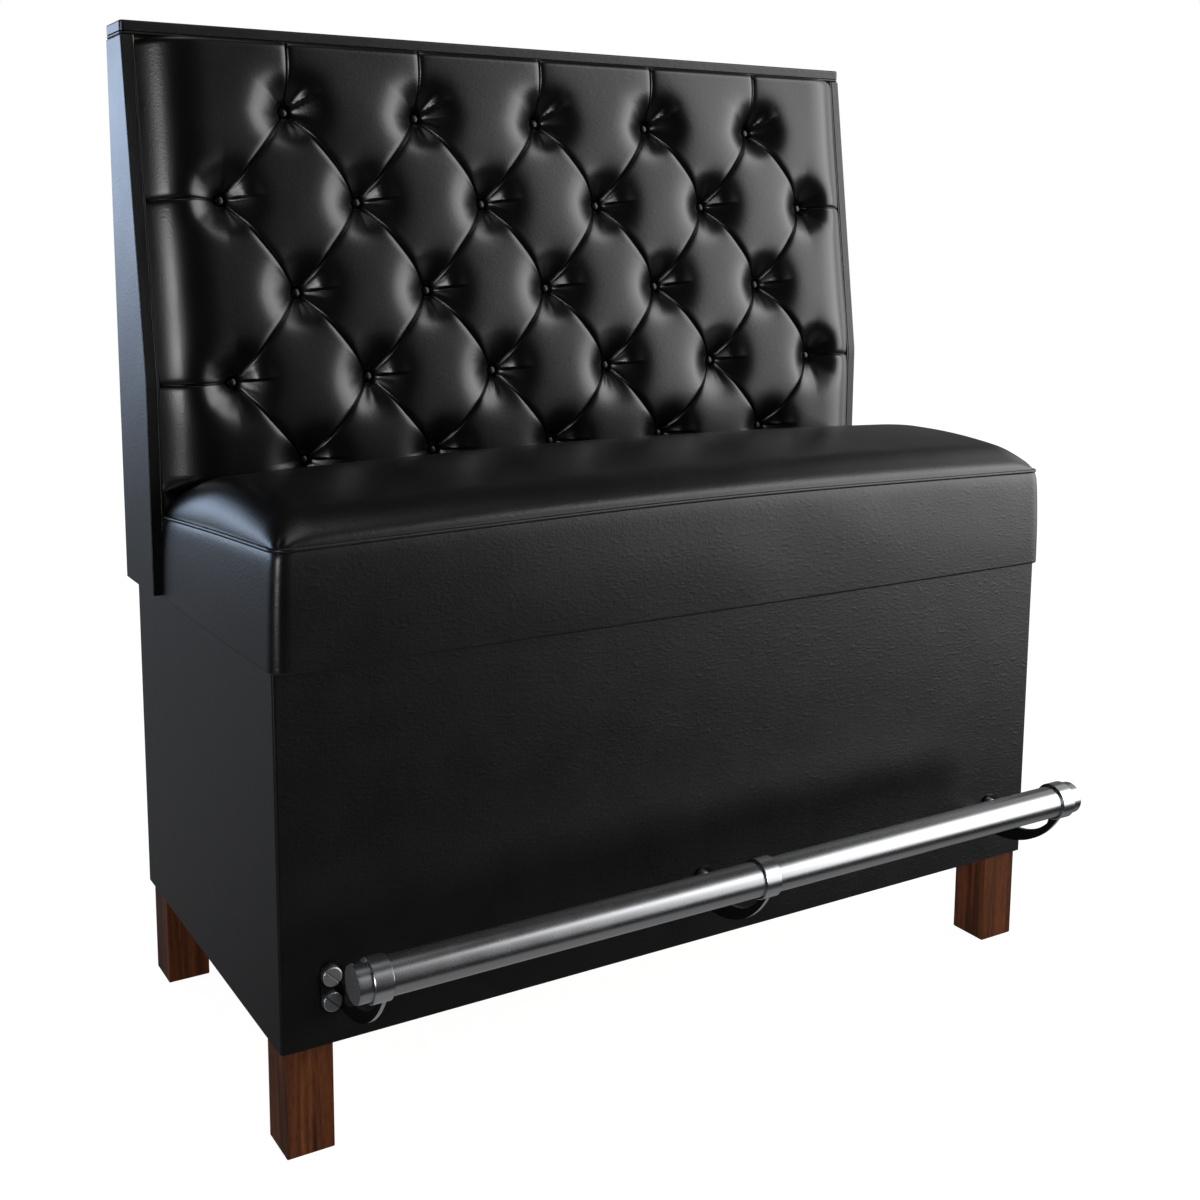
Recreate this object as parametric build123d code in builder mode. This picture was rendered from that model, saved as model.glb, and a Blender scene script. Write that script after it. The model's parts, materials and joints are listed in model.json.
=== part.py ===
from build123d import *
import os
from math import asin, atan2, cos, hypot, pi, sin, tan

# A two-seat upholstered restaurant booth: a vinyl-covered box base on four square
# wooden legs, a crowned seat, a deep-buttoned back between two thin wings under a
# flat cap, and a tubular foot rail on three brackets. Millimetres, +Z up, front
# towards -Y, origin on the floor under the middle of the whole booth.

os.makedirs("parts", exist_ok=True)

# Base box
base_width = 1210.0
base_depth = 568.0
base_height = 461.0
base_board = 18.0
base_deck = 15.0
base_corner_radius = 4.0
rib_spread_share = 0.333
cover_thickness = 1.5

# Legs and what holds them
leg_height = 138.0
leg_side = 60.0
leg_inset = 6.5
leg_chamfer = 1.5
leg_block_side = 60.0
leg_block_height = 25.0
leg_bolt_diameter = 8.0
leg_bolt_reach = 52.0
leg_bolt_head_width = 13.0
leg_bolt_head_height = 5.5
leg_washer_diameter = 22.0
leg_washer_thickness = 1.8
leg_insert_diameter = 12.0
leg_insert_length = 25.0

# Seat
seat_front_overhang = 11.4
seat_side_overhang = 2.9
seat_padding = 20.0
seat_corner_seam = 141.0
seat_front_seam_rise = 12.0
seat_side_seam = 128.0
seat_rear_seam = 109.0
seat_front_draw_in = 3.4
seat_side_draw_in = 7.0
seat_front_bow = 4.4
seat_side_bow = 3.6
seat_corner_radius = 7.0
seat_seam_corner_radius = 22.0
seat_roll_height = 64.0
seat_roll_inset = 60.0
seat_crown_height = 198.0
seat_crown_front = 172.0
seat_crown_rear = 153.0
seat_crown_fall = 22.0
seat_peak_setback = 200.0
seat_roll_shares = (0, 0.33, 0.62, 0.83)
welt_bend_share = 0.4
seat_frame_board = 18.0
seat_frame_height = 85.0
seat_deck_thickness = 12.0
seat_cross_spacing_share = 0.248
seat_screw_diameter = 5.0
seat_screw_bite = 25.0
seat_screw_spacing = 200.0
seat_screw_head_diameter = 11.0
seat_screw_head_height = 2.5

# Back frame, wings and cap
back_height = 752.7
back_depth_low = 134.3
back_depth_top = 69.0
knee_height_share = 0.3906
knee_radius = 120.0
wing_thickness = 14.0
wing_edge_radius = 1.6
rear_panel_thickness = 5.6
post_width = 25.0
frame_plate = 18.0
mid_rail_drop = 30.0
stud_place_share = 1.25
backer_board = 12.0
cap_thickness = 13.8
cap_corner_radius = 6.0
cap_edge_radius = 3.0
cap_screw_diameter = 4.5
cap_screw_bite = 9.0
cap_screw_margin = 155.0
piping_diameter = 5.5
back_bolt_diameter = 8.0
back_bolt_head_diameter = 20.0
back_bolt_head_height = 4.0
back_bolt_margin = 65.0
back_nut_width = 13.0
back_nut_height = 6.5
wing_screw_diameter = 4.5
wing_screw_bite = 9.0
screw_head_diameter = 9.0
screw_head_height = 2.6
wing_screw_shares = (0.1, 0.5, 0.9)
wing_screw_depth_share = 0.2

# Buttoned cushion
cushion_sunk = 22.0
cushion_crest = 48.0
cushion_knee_radius = 150.0
cushion_side_roll = 60.0
cushion_top_gap = 4.7
cushion_tuck_height = 60.0
button_side_margin = 102.5
button_diameter = 13.0
button_thickness = 5.5
button_edge = 2.4
row_height_shares = (0.8715, 0.7086, 0.5411, 0.3817, 0.2313)
odd_row_count = 5
even_row_count = 6
dimple_floor_radius = 7.2
dimple_reach = 60.0
dimple_rise = 50.0
dimple_curve_radius = 62.0
pleat_depth = 14.0
pleat_reach = 43.0
pleat_curve_radius = 150.0
pleat_setback = 18.0
side_pleat_fall = 22.0
side_pleat_sink = 20.0
tie_diameter = 2.4
tie_toggle_diameter = 8.0
tie_toggle_thickness = 2.0

# Foot rail
rail_diameter = 45.0
rail_wall = 1.6
rail_standoff = 124.2
rail_rise = 135.6
rail_end_inset = 40.0
rail_cap_thickness = 2.0
rail_cap_diameter = 44.2
rail_plug_length = 15.0
bracket_inset = 68.2
collar_diameter = 52.0
collar_width = 23.5
collar_chamfer = 0.8
pad_width = 30.0
pad_height = 64.0
pad_thickness = 3.0
pad_corner_radius = 12.0
pad_centre_rise = 71.3
rail_bolt_spacing = 31.4
rail_bolt_diameter = 8.0
rail_bolt_head_diameter = 24.0
rail_bolt_head_height = 6.0
rail_bolt_edge_radius = 1.4
rail_bolt_slot_width = 2.8
rail_bolt_slot_depth = 2.4
rail_bolt_slot_angle = 45.0
rail_nut_width = 13.0
rail_nut_height = 7.0
arm_thickness = 5.0
arm_root_low_rise = 40.5
arm_root_high_rise = 78.0
arm_sag_rise = 54.5
arm_sag_reach = 70.0
arm_inner_rise = 66.8
arm_inner_reach = 55.0
arm_neck_rise = 92.4
arm_neck_reach = 104.5
arm_tip_low_angle = 262.0
arm_tip_high_angle = 302.0
set_screw_diameter = 5.0

# Fits
fit_gap = 0.3
thread_gap = 0.1
hole_gap = 0.5
bolt_tail = 3.0
overrun = 5.0
hex_sides = 6
facing_front = -0.5

# Places that follow from the sizes
base_top = leg_height + base_height
front_reach = rail_standoff + collar_diameter / 2
overall_depth = front_reach + base_depth + rear_panel_thickness
front_y = front_reach - overall_depth / 2
rear_y = front_y + base_depth
half_width = base_width / 2
board_half = half_width - cover_thickness
board_front_y = front_y + cover_thickness
board_rear_y = rear_y - cover_thickness
inside_half = board_half - base_board
inside_front_y = board_front_y + base_board
inside_rear_y = board_rear_y - base_board
lower_deck_top = leg_height + base_deck
upper_deck_low = base_top - base_deck

wing_low_y = rear_y - back_depth_low
wing_top_y = rear_y - back_depth_top
wing_top = base_top + back_height
knee_z = base_top + back_height * knee_height_share
lean = atan2(wing_top_y - wing_low_y, wing_top - knee_z)
outer_half = half_width + wing_thickness
outer_rear_y = rear_y + rear_panel_thickness
piping_radius = piping_diameter / 2
cap_low = wing_top + piping_diameter

seat_half = half_width + seat_side_overhang
seat_front_y = front_y - seat_front_overhang
seat_rear_y = wing_low_y - fit_gap
seat_seam_half = seat_half - seat_side_draw_in
seat_seam_y = seat_front_y + seat_front_draw_in
seat_seam_z = base_top + seat_corner_seam
seat_mid_y = (seat_front_y + seat_rear_y) / 2
pocket_half = seat_half - seat_padding
pocket_front_y = seat_front_y + seat_padding
pocket_rear_y = seat_rear_y - seat_padding
seat_frame_top = base_top + seat_frame_height
pocket_top = seat_frame_top + seat_deck_thickness

backer_front = cushion_sunk
backer_rear = cushion_sunk + backer_board
cushion_half = half_width - piping_diameter - fit_gap
button_spacing = (base_width - 2 * button_side_margin) / (even_row_count - 1)
rib_spread = base_width * rib_spread_share
seat_cross_spacing = base_width * seat_cross_spacing_share
stud_x = button_spacing * stud_place_share
back_bolt_spacing = (base_width - 2 * back_bolt_margin) / 3
cap_screw_spacing = (base_width - 2 * cap_screw_margin) / 3
cushion_top = wing_top - cushion_top_gap

rail_y = front_y - rail_standoff
rail_height = leg_height + rail_rise
rail_length = base_width - 2 * rail_end_inset
pad_centre_height = leg_height + pad_centre_rise
bracket_places = (-half_width + bracket_inset, 0, half_width - bracket_inset)
arm_offset = collar_width / 2 - arm_thickness
pad_offset = (collar_width - pad_width) / 2
rail_bolt_offset = arm_offset - 2 * fit_gap - rail_bolt_head_diameter / 2
rail_bolt_heights = (
    pad_centre_height - rail_bolt_spacing / 2,
    pad_centre_height + rail_bolt_spacing / 2,
)
rail_bolt_places = [(x + rail_bolt_offset, z) for x in bracket_places for z in rail_bolt_heights]
back_bolt_y = (wing_low_y + backer_rear + rear_y) / 2


def save(piece, name):
    """Label a finished piece and write its STEP file."""
    piece.part.label = name
    export_step(piece.part, f"parts/{name}.step")


def board(x_low, x_high, y_low, y_high, z_low, z_high):
    """A straight board between three pairs of planes."""
    with BuildPart() as piece:
        with BuildSketch(Plane.XY.offset(z_low)):
            with Locations(((x_low + x_high) / 2, (y_low + y_high) / 2)):
                Rectangle(x_high - x_low, y_high - y_low)
        extrude(amount=z_high - z_low)
    return piece


def across_wall(y):
    """The upright plane at y, seen from the front, with its normal towards the front."""
    return Plane.XZ.offset(-y)


def back_corner(setback):
    """The knee of the back, as (y, z), on a line set back from the wings' front edge."""
    return (wing_low_y + setback, knee_z - setback * tan(lean / 2))


def back_y(setback, z):
    """The y of a line set back from the wings' front edge, at height z."""
    y_corner, z_corner = back_corner(setback)
    return y_corner + max(0, z - z_corner) * tan(lean)


def back_normal(z):
    """The direction out of the back's face at height z."""
    if z > knee_z:
        return Vector(0, -cos(lean), sin(lean))
    return Vector(0, -1, 0)


def profile_between(near, far, z_low, z_high):
    """The (y, z) outline between two lines set back from the wings' front edge."""
    points = [(back_y(near, z_low), z_low)]
    if z_low < back_corner(near)[1] < z_high:
        points.append(back_corner(near))
    points.append((back_y(near, z_high), z_high))
    points.append((back_y(far, z_high), z_high))
    if z_low < back_corner(far)[1] < z_high:
        points.append(back_corner(far))
    points.append((back_y(far, z_low), z_low))
    return points


def frame_outline(z_low, z_high):
    """The (y, z) outline of an upright of the back frame, behind the backer boards."""
    points = [(rear_y, z_low), (rear_y, z_high), (back_y(backer_rear, z_high), z_high)]
    if z_low < back_corner(backer_rear)[1] < z_high:
        points.append(back_corner(backer_rear))
    points.append((back_y(backer_rear, z_low), z_low))
    return points


def button_places():
    """Each button as (row, x, z), rows numbered from the top."""
    places = []
    for number, share in enumerate(row_height_shares, start=1):
        count = even_row_count if number % 2 == 0 else odd_row_count
        for i in range(count):
            x = (i - (count - 1) / 2) * button_spacing
            places.append((number, x, base_top + back_height * share))
    return places


def button_plane(x, z, proud=0):
    """The plane under a button, its normal out of the back."""
    normal = back_normal(z)
    origin = Vector(x, back_y(0, z), z) + normal * proud
    return Plane(origin=origin, x_dir=(1, 0, 0), z_dir=normal)


def bend_radius(before, corner, after, share):
    """The radius whose arc uses a share of the shorter run beside a corner."""
    run_in = Vector(*corner) - Vector(*before)
    run_out = Vector(*after) - Vector(*corner)
    turn = run_in.get_angle(run_out) * pi / 180
    return share * min(run_in.length, run_out.length) / tan(turn / 2)


# Base: four boards and two decks around two ribs, wrapped in a vinyl cover

with BuildPart() as base_front_panel:
    with BuildSketch(Plane.XY.offset(leg_height)):
        with Locations((0, board_front_y + base_board / 2)):
            Rectangle(2 * board_half, base_board)
    extrude(amount=base_height)
    outer = base_front_panel.edges().filter_by(Axis.Z).group_by(Axis.Y)[0]
    fillet(outer, base_corner_radius - cover_thickness)
    with BuildSketch(across_wall(front_y)):
        with Locations(*rail_bolt_places):
            Circle((rail_bolt_diameter + hole_gap) / 2)
    extrude(amount=-(cover_thickness + base_board + overrun), mode=Mode.SUBTRACT)
save(base_front_panel, "base_front_panel")

with BuildPart() as base_rear_panel:
    with BuildSketch(Plane.XY.offset(leg_height)):
        with Locations((0, board_rear_y - base_board / 2)):
            Rectangle(2 * board_half, base_board)
    extrude(amount=base_height)
    outer = base_rear_panel.edges().filter_by(Axis.Z).group_by(Axis.Y)[-1]
    fillet(outer, base_corner_radius - cover_thickness)
save(base_rear_panel, "base_rear_panel")

for name, x_low in (("base_left_panel", -board_half), ("base_right_panel", inside_half)):
    panel = board(x_low, x_low + base_board, inside_front_y, inside_rear_y, leg_height, base_top)
    save(panel, name)

leg_places = [
    (x_sign * (half_width - leg_inset - leg_side / 2), y)
    for x_sign in (-1, 1)
    for y in (front_y + leg_inset + leg_side / 2, rear_y - leg_inset - leg_side / 2)
]

with BuildPart() as base_bottom_deck:
    with BuildSketch(Plane.XY.offset(leg_height)):
        with Locations((0, (inside_front_y + inside_rear_y) / 2)):
            Rectangle(2 * inside_half, inside_rear_y - inside_front_y)
        with Locations(*leg_places):
            Circle((leg_bolt_diameter + hole_gap) / 2, mode=Mode.SUBTRACT)
    extrude(amount=base_deck)
save(base_bottom_deck, "base_bottom_deck")

with BuildPart() as base_top_deck:
    with BuildSketch(Plane.XY.offset(upper_deck_low)):
        with Locations((0, (inside_front_y + inside_rear_y) / 2)):
            Rectangle(2 * inside_half, inside_rear_y - inside_front_y)
        with Locations((0, back_bolt_y)):
            with GridLocations(back_bolt_spacing, 0, 4, 1):
                Circle((back_bolt_diameter + hole_gap) / 2, mode=Mode.SUBTRACT)
        with Locations((0, seat_mid_y)):
            with GridLocations(seat_cross_spacing, seat_screw_spacing, 3, 2):
                Circle((seat_screw_diameter + hole_gap) / 2, mode=Mode.SUBTRACT)
    extrude(amount=base_deck)
save(base_top_deck, "base_top_deck")

with BuildPart() as base_ribs:
    with BuildSketch(Plane.XY.offset(lower_deck_top)):
        with Locations((0, (inside_front_y + inside_rear_y) / 2)):
            with GridLocations(rib_spread, 0, 2, 1):
                Rectangle(base_board, inside_rear_y - inside_front_y)
    extrude(amount=upper_deck_low - lower_deck_top)
save(base_ribs, "base_ribs")

with BuildPart() as base_vinyl_cover:
    with BuildSketch(Plane.XY.offset(leg_height)):
        with Locations((0, (front_y + rear_y) / 2)):
            RectangleRounded(base_width, base_depth, base_corner_radius)
            RectangleRounded(
                base_width - 2 * cover_thickness,
                base_depth - 2 * cover_thickness,
                base_corner_radius - cover_thickness,
                mode=Mode.SUBTRACT,
            )
    extrude(amount=base_height)
    with BuildSketch(across_wall(front_y)):
        with Locations(*rail_bolt_places):
            Circle((rail_bolt_diameter + hole_gap) / 2)
    extrude(amount=-2 * cover_thickness, mode=Mode.SUBTRACT)
save(base_vinyl_cover, "base_vinyl_cover")

# Legs: each held by a bolt that runs down from a block in the base into a threaded insert

leg_names = ("leg_rear_left", "leg_front_left", "leg_rear_right", "leg_front_right")
leg_spots = sorted(leg_places, key=lambda place: (place[0], -place[1]))

for name, place in zip(leg_names, leg_spots):
    with BuildPart() as leg:
        with BuildSketch():
            with Locations(place):
                Rectangle(leg_side, leg_side)
        extrude(amount=leg_height)
        chamfer(leg.faces().sort_by(Axis.Z)[0].edges(), leg_chamfer)
        with BuildSketch(Plane.XY.offset(leg_height)):
            with Locations(place):
                Circle(leg_insert_diameter / 2)
        extrude(amount=-leg_insert_length, mode=Mode.SUBTRACT)
        with BuildSketch(Plane.XY.offset(leg_height)):
            with Locations(place):
                Circle((leg_bolt_diameter + hole_gap) / 2)
        extrude(amount=-(leg_bolt_reach + bolt_tail), mode=Mode.SUBTRACT)
    save(leg, name)

block_x = inside_half - leg_block_side / 2
block_places = [
    (x_sign * block_x, y)
    for x_sign in (-1, 1)
    for y in (inside_front_y + leg_block_side / 2, inside_rear_y - leg_block_side / 2)
]
block_top = lower_deck_top + leg_block_height

with BuildPart() as leg_corner_blocks:
    with BuildSketch(Plane.XY.offset(lower_deck_top)):
        with Locations(*block_places):
            Rectangle(leg_block_side, leg_block_side)
        with Locations(*leg_places):
            Circle((leg_bolt_diameter + hole_gap) / 2, mode=Mode.SUBTRACT)
    extrude(amount=leg_block_height)
save(leg_corner_blocks, "leg_corner_blocks")

with BuildPart() as leg_bolt_washers:
    with BuildSketch(Plane.XY.offset(block_top)):
        with Locations(*leg_places):
            Circle(leg_washer_diameter / 2)
            Circle((leg_bolt_diameter + hole_gap) / 2, mode=Mode.SUBTRACT)
    extrude(amount=leg_washer_thickness)
save(leg_bolt_washers, "leg_bolt_washers")

with BuildPart() as leg_bolts:
    with BuildSketch(Plane.XY.offset(leg_height - leg_bolt_reach)):
        with Locations(*leg_places):
            Circle(leg_bolt_diameter / 2)
    extrude(amount=leg_bolt_reach + base_deck + leg_block_height + leg_washer_thickness)
    with BuildSketch(Plane.XY.offset(block_top + leg_washer_thickness)):
        with Locations(*leg_places):
            RegularPolygon(leg_bolt_head_width / 2, hex_sides, major_radius=False)
    extrude(amount=leg_bolt_head_height)
save(leg_bolts, "leg_bolts")

with BuildPart() as leg_inserts:
    with BuildSketch(Plane.XY.offset(leg_height)):
        with Locations(*leg_places):
            Circle(leg_insert_diameter / 2 - thread_gap)
            Circle(leg_bolt_diameter / 2 + thread_gap, mode=Mode.SUBTRACT)
    extrude(amount=-leg_insert_length)
save(leg_inserts, "leg_inserts")

# Seat: a wooden frame and deck under one crowned, welted cushion

rail_names = (
    ("seat_frame_front_rail", pocket_front_y),
    ("seat_frame_rear_rail", pocket_rear_y - seat_frame_board),
)
for name, y_low in rail_names:
    rail = board(-pocket_half, pocket_half, y_low, y_low + seat_frame_board, base_top, seat_frame_top)
    save(rail, name)

cross_front_y = pocket_front_y + seat_frame_board
cross_rear_y = pocket_rear_y - seat_frame_board
side_names = (
    ("seat_frame_left_rail", -pocket_half),
    ("seat_frame_right_rail", pocket_half - seat_frame_board),
)
for name, x_low in side_names:
    rail = board(
        x_low, x_low + seat_frame_board, cross_front_y, cross_rear_y, base_top, seat_frame_top
    )
    save(rail, name)

with BuildPart() as seat_frame_crosspieces:
    with BuildSketch(Plane.XY.offset(base_top)):
        with Locations((0, (cross_front_y + cross_rear_y) / 2)):
            with GridLocations(seat_cross_spacing, 0, 3, 1):
                Rectangle(seat_frame_board, cross_rear_y - cross_front_y)
    extrude(amount=seat_frame_height)
    with BuildSketch(Plane.XY.offset(base_top)):
        with Locations((0, seat_mid_y)):
            with GridLocations(seat_cross_spacing, seat_screw_spacing, 3, 2):
                Circle(seat_screw_diameter / 2 + thread_gap)
    extrude(amount=seat_screw_bite + bolt_tail, mode=Mode.SUBTRACT)
save(seat_frame_crosspieces, "seat_frame_crosspieces")

seat_deck = board(
    -pocket_half, pocket_half, pocket_front_y, pocket_rear_y, seat_frame_top, pocket_top
)
save(seat_deck, "seat_deck")

with BuildPart() as seat_screws:
    with BuildSketch(Plane.XY.offset(upper_deck_low)):
        with Locations((0, seat_mid_y)):
            with GridLocations(seat_cross_spacing, seat_screw_spacing, 3, 2):
                Circle(seat_screw_diameter / 2)
    extrude(amount=base_deck + seat_screw_bite)
    with BuildSketch(Plane.XY.offset(upper_deck_low)):
        with Locations((0, seat_mid_y)):
            with GridLocations(seat_cross_spacing, seat_screw_spacing, 3, 2):
                Circle(seat_screw_head_diameter / 2)
    extrude(amount=-seat_screw_head_height)
save(seat_screws, "seat_screws")


def seat_outline(z, half, front, rear_half, corner_radius, side_bow=0, front_bow=0):
    """The seat's plan outline at height z, with its sides and front bowed outwards."""
    front_left = (-half, front)
    front_right = (half, front)
    rear_right = (rear_half, seat_rear_y)
    rear_left = (-rear_half, seat_rear_y)
    middle_y = (front + seat_rear_y) / 2
    middle_half = (half + rear_half) / 2 + side_bow
    with BuildSketch(Plane.XY.offset(z)) as outline:
        with BuildLine():
            if front_bow:
                ThreePointArc(front_left, (0, front - front_bow), front_right)
                ThreePointArc(front_right, (middle_half, middle_y), rear_right)
                Line(rear_right, rear_left)
                ThreePointArc(rear_left, (-middle_half, middle_y), front_left)
            else:
                Polyline(front_left, front_right, rear_right, rear_left, close=True)
        make_face()
        fillet(outline.vertices().group_by(Axis.Y)[0], corner_radius)
    return outline.sketch


def crown_section(x, fall, lift):
    """One front-to-back slice under the crowned top of the seat."""
    front_point = (seat_front_y - overrun, base_top + seat_crown_front - fall + lift)
    peak_point = (front_y + seat_peak_setback, base_top + seat_crown_height - fall + lift)
    rear_point = (wing_low_y, base_top + seat_crown_rear - fall + lift)
    with BuildSketch(Plane.YZ.offset(x)) as section:
        with BuildLine():
            ThreePointArc(front_point, peak_point, rear_point)
            Polyline(
                rear_point,
                (wing_low_y, base_top - overrun),
                (seat_front_y - overrun, base_top - overrun),
                front_point,
            )
        make_face()
    return section.sketch


def crown_slices(lift=0):
    """The three slices that the crowned top runs through."""
    reach = seat_half + overrun
    ends = [crown_section(x, seat_crown_fall, lift) for x in (-reach, reach)]
    return [ends[0], crown_section(0, 0, lift), ends[1]]


def roll_slices():
    """The outlines of the seat's rounded shoulder, from the seam upwards."""
    slices = []
    for share in seat_roll_shares:
        angle = share * pi / 2
        inset = seat_roll_inset * (1 - cos(angle))
        slices.append(
            seat_outline(
                seat_seam_z + seat_roll_height * sin(angle),
                seat_seam_half - inset,
                seat_seam_y + inset,
                seat_seam_half - inset,
                seat_seam_corner_radius + inset,
                seat_side_bow,
                seat_front_bow,
            )
        )
    return slices


def seam_point(x_sign, y, seam_height, bow):
    """A point of the seat's side seam, on the side that leans in towards the top."""
    side = seat_half - (seat_side_draw_in - bow) * seam_height / seat_corner_seam
    return (x_sign * side, y, base_top + seam_height)


def seam_points():
    """The corners of the seat's welt, from the left wing round the front to the right wing."""
    left = [
        seam_point(-1, seat_rear_y - 2 * fit_gap, seat_rear_seam, 0),
        seam_point(-1, seat_mid_y, seat_side_seam, seat_side_bow),
        (-seat_seam_half, seat_seam_y, seat_seam_z),
    ]
    middle = [(0, seat_seam_y - seat_front_bow, seat_seam_z + seat_front_seam_rise)]
    right = [(-x, y, z) for x, y, z in reversed(left)]
    return left + middle + right


def seam_line():
    """The seat's welt line: straight runs joined by long arcs and two round corners."""
    points = seam_points()
    long_side = bend_radius(*points[0:3], welt_bend_share)
    long_front = bend_radius(*points[2:5], welt_bend_share)
    corner = seat_seam_corner_radius
    return FilletPolyline(*points, radius=[long_side, corner, long_front, corner, long_side])


with BuildPart() as grooved_seat:
    shoulder = roll_slices()
    loft([seat_outline(base_top, seat_half, seat_front_y, seat_half, seat_corner_radius), shoulder[0]])
    loft(shoulder)
    loft(crown_slices(), mode=Mode.INTERSECT)
    with BuildSketch(Plane.XY.offset(base_top)):
        with Locations((0, (pocket_front_y + pocket_rear_y) / 2)):
            Rectangle(2 * pocket_half, pocket_rear_y - pocket_front_y)
    extrude(amount=pocket_top - base_top, mode=Mode.SUBTRACT)
    with BuildLine():
        groove = seam_line()
    with BuildSketch(Plane(origin=groove @ 0, z_dir=groove % 0)):
        Circle(piping_radius + fit_gap)
    sweep(mode=Mode.SUBTRACT)

with BuildPart() as seat_cushion:
    add(grooved_seat.solids().sort_by(SortBy.VOLUME)[-1])
save(seat_cushion, "seat_cushion")

with BuildPart() as seat_piping:
    with BuildLine():
        welt = seam_line()
    with BuildSketch(Plane(origin=welt @ 0, z_dir=welt % 0)):
        Circle(piping_radius)
    sweep()
save(seat_piping, "seat_piping")

# Back frame: posts, studs and three plates, with two backer boards and a rear panel

mid_rail_top = knee_z - mid_rail_drop
mid_rail_low = mid_rail_top - frame_plate
bottom_rail_top = base_top + frame_plate
top_rail_low = cap_low - frame_plate
post_inner = half_width - post_width
low_front_y = wing_low_y + backer_rear
top_rail_front_y = back_y(backer_rear, wing_top)
wing_screw_places = [
    (rear_y - back_depth_top * wing_screw_depth_share, base_top + back_height * share)
    for share in wing_screw_shares
]

for name, x_low in (("back_left_post", -half_width), ("back_right_post", post_inner)):
    with BuildPart() as post:
        with BuildSketch(Plane.YZ.offset(x_low)):
            with BuildLine():
                Polyline(*frame_outline(base_top, cap_low), close=True)
            make_face()
            with Locations(*wing_screw_places):
                Circle((wing_screw_diameter + hole_gap) / 2, mode=Mode.SUBTRACT)
        extrude(amount=post_width)
    save(post, name)

with BuildPart() as back_bottom_rail:
    with BuildSketch(Plane.XY.offset(base_top)):
        with Locations((0, back_bolt_y)):
            Rectangle(2 * post_inner, rear_y - low_front_y)
            with GridLocations(back_bolt_spacing, 0, 4, 1):
                Circle((back_bolt_diameter + hole_gap) / 2, mode=Mode.SUBTRACT)
    extrude(amount=frame_plate)
save(back_bottom_rail, "back_bottom_rail")

back_mid_rail = board(-post_inner, post_inner, low_front_y, rear_y, mid_rail_low, mid_rail_top)
save(back_mid_rail, "back_mid_rail")

with BuildPart() as back_top_rail:
    with BuildSketch(Plane.XY.offset(top_rail_low)):
        with Locations((0, (top_rail_front_y + rear_y) / 2)):
            Rectangle(2 * post_inner, rear_y - top_rail_front_y)
            with GridLocations(cap_screw_spacing, 0, 4, 1):
                Circle((cap_screw_diameter + hole_gap) / 2, mode=Mode.SUBTRACT)
    extrude(amount=frame_plate)
save(back_top_rail, "back_top_rail")

with BuildPart() as back_studs:
    for x in (-stud_x, stud_x):
        for z_low, z_high in ((bottom_rail_top, mid_rail_low), (mid_rail_top, top_rail_low)):
            with BuildSketch(Plane.YZ.offset(x - frame_plate / 2)):
                with BuildLine():
                    Polyline(*frame_outline(z_low, z_high), close=True)
                make_face()
            extrude(amount=frame_plate)
save(back_studs, "back_studs")

board_joint_z = back_corner(backer_front)[1]
backer_boards = (
    ("back_lower_board", base_top, board_joint_z, (4, 5)),
    ("back_upper_board", board_joint_z, wing_top, (1, 2, 3)),
)
for name, z_low, z_high, rows in backer_boards:
    with BuildPart() as backer:
        with BuildSketch(Plane.YZ.offset(-half_width)):
            with BuildLine():
                Polyline(*profile_between(backer_front, backer_rear, z_low, z_high), close=True)
            make_face()
        extrude(amount=base_width)
        for row, x, z in button_places():
            if row in rows:
                with BuildSketch(button_plane(x, z)):
                    Circle((tie_diameter + hole_gap) / 2)
                extrude(amount=-(backer_rear + overrun), mode=Mode.SUBTRACT)
    save(backer, name)

rear_panel = board(-half_width, half_width, rear_y, outer_rear_y, base_top, wing_top)
save(rear_panel, "back_rear_panel")

with BuildPart() as back_mounting_bolts:
    with BuildSketch(Plane.XY.offset(bottom_rail_top)):
        with Locations((0, back_bolt_y)):
            with GridLocations(back_bolt_spacing, 0, 4, 1):
                Circle(back_bolt_head_diameter / 2)
    extrude(amount=back_bolt_head_height)
    with BuildSketch(Plane.XY.offset(bottom_rail_top)):
        with Locations((0, back_bolt_y)):
            with GridLocations(back_bolt_spacing, 0, 4, 1):
                Circle(back_bolt_diameter / 2)
    extrude(amount=-(frame_plate + base_deck + back_nut_height + bolt_tail))
save(back_mounting_bolts, "back_mounting_bolts")

with BuildPart() as back_mounting_nuts:
    with BuildSketch(Plane.XY.offset(upper_deck_low)):
        with Locations((0, back_bolt_y)):
            with GridLocations(back_bolt_spacing, 0, 4, 1):
                RegularPolygon(back_nut_width / 2, hex_sides, major_radius=False)
                Circle(back_bolt_diameter / 2 + thread_gap, mode=Mode.SUBTRACT)
    extrude(amount=-back_nut_height)
save(back_mounting_nuts, "back_mounting_nuts")

# Wings: thin covered side boards whose front edge stands upright to the knee, then leans back

for name, x_inner, x_sign in (("left_wing", -half_width, -1), ("right_wing", half_width, 1)):
    with BuildPart() as wing:
        with BuildSketch(Plane.YZ.offset(x_inner)) as side:
            with BuildLine():
                Polyline(
                    (wing_low_y, base_top),
                    (wing_low_y, knee_z),
                    (wing_top_y, wing_top),
                    (outer_rear_y, wing_top),
                    (outer_rear_y, base_top),
                    close=True,
                )
            make_face()
            knee = side.vertices().sort_by_distance((wing_low_y, knee_z))[0]
            fillet(knee, knee_radius)
        extrude(amount=x_sign * wing_thickness)
        outer_face = wing.faces().filter_by(Axis.X).sort_by(Axis.X)[-1 if x_sign > 0 else 0]
        fillet(outer_face.edges(), wing_edge_radius)
        with BuildSketch(Plane.YZ.offset(x_inner)):
            with Locations(*wing_screw_places):
                Circle(wing_screw_diameter / 2 + thread_gap)
        extrude(amount=x_sign * wing_screw_bite, mode=Mode.SUBTRACT)
    save(wing, name)

piping_top = wing_top - piping_radius * sin(lean)

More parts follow.
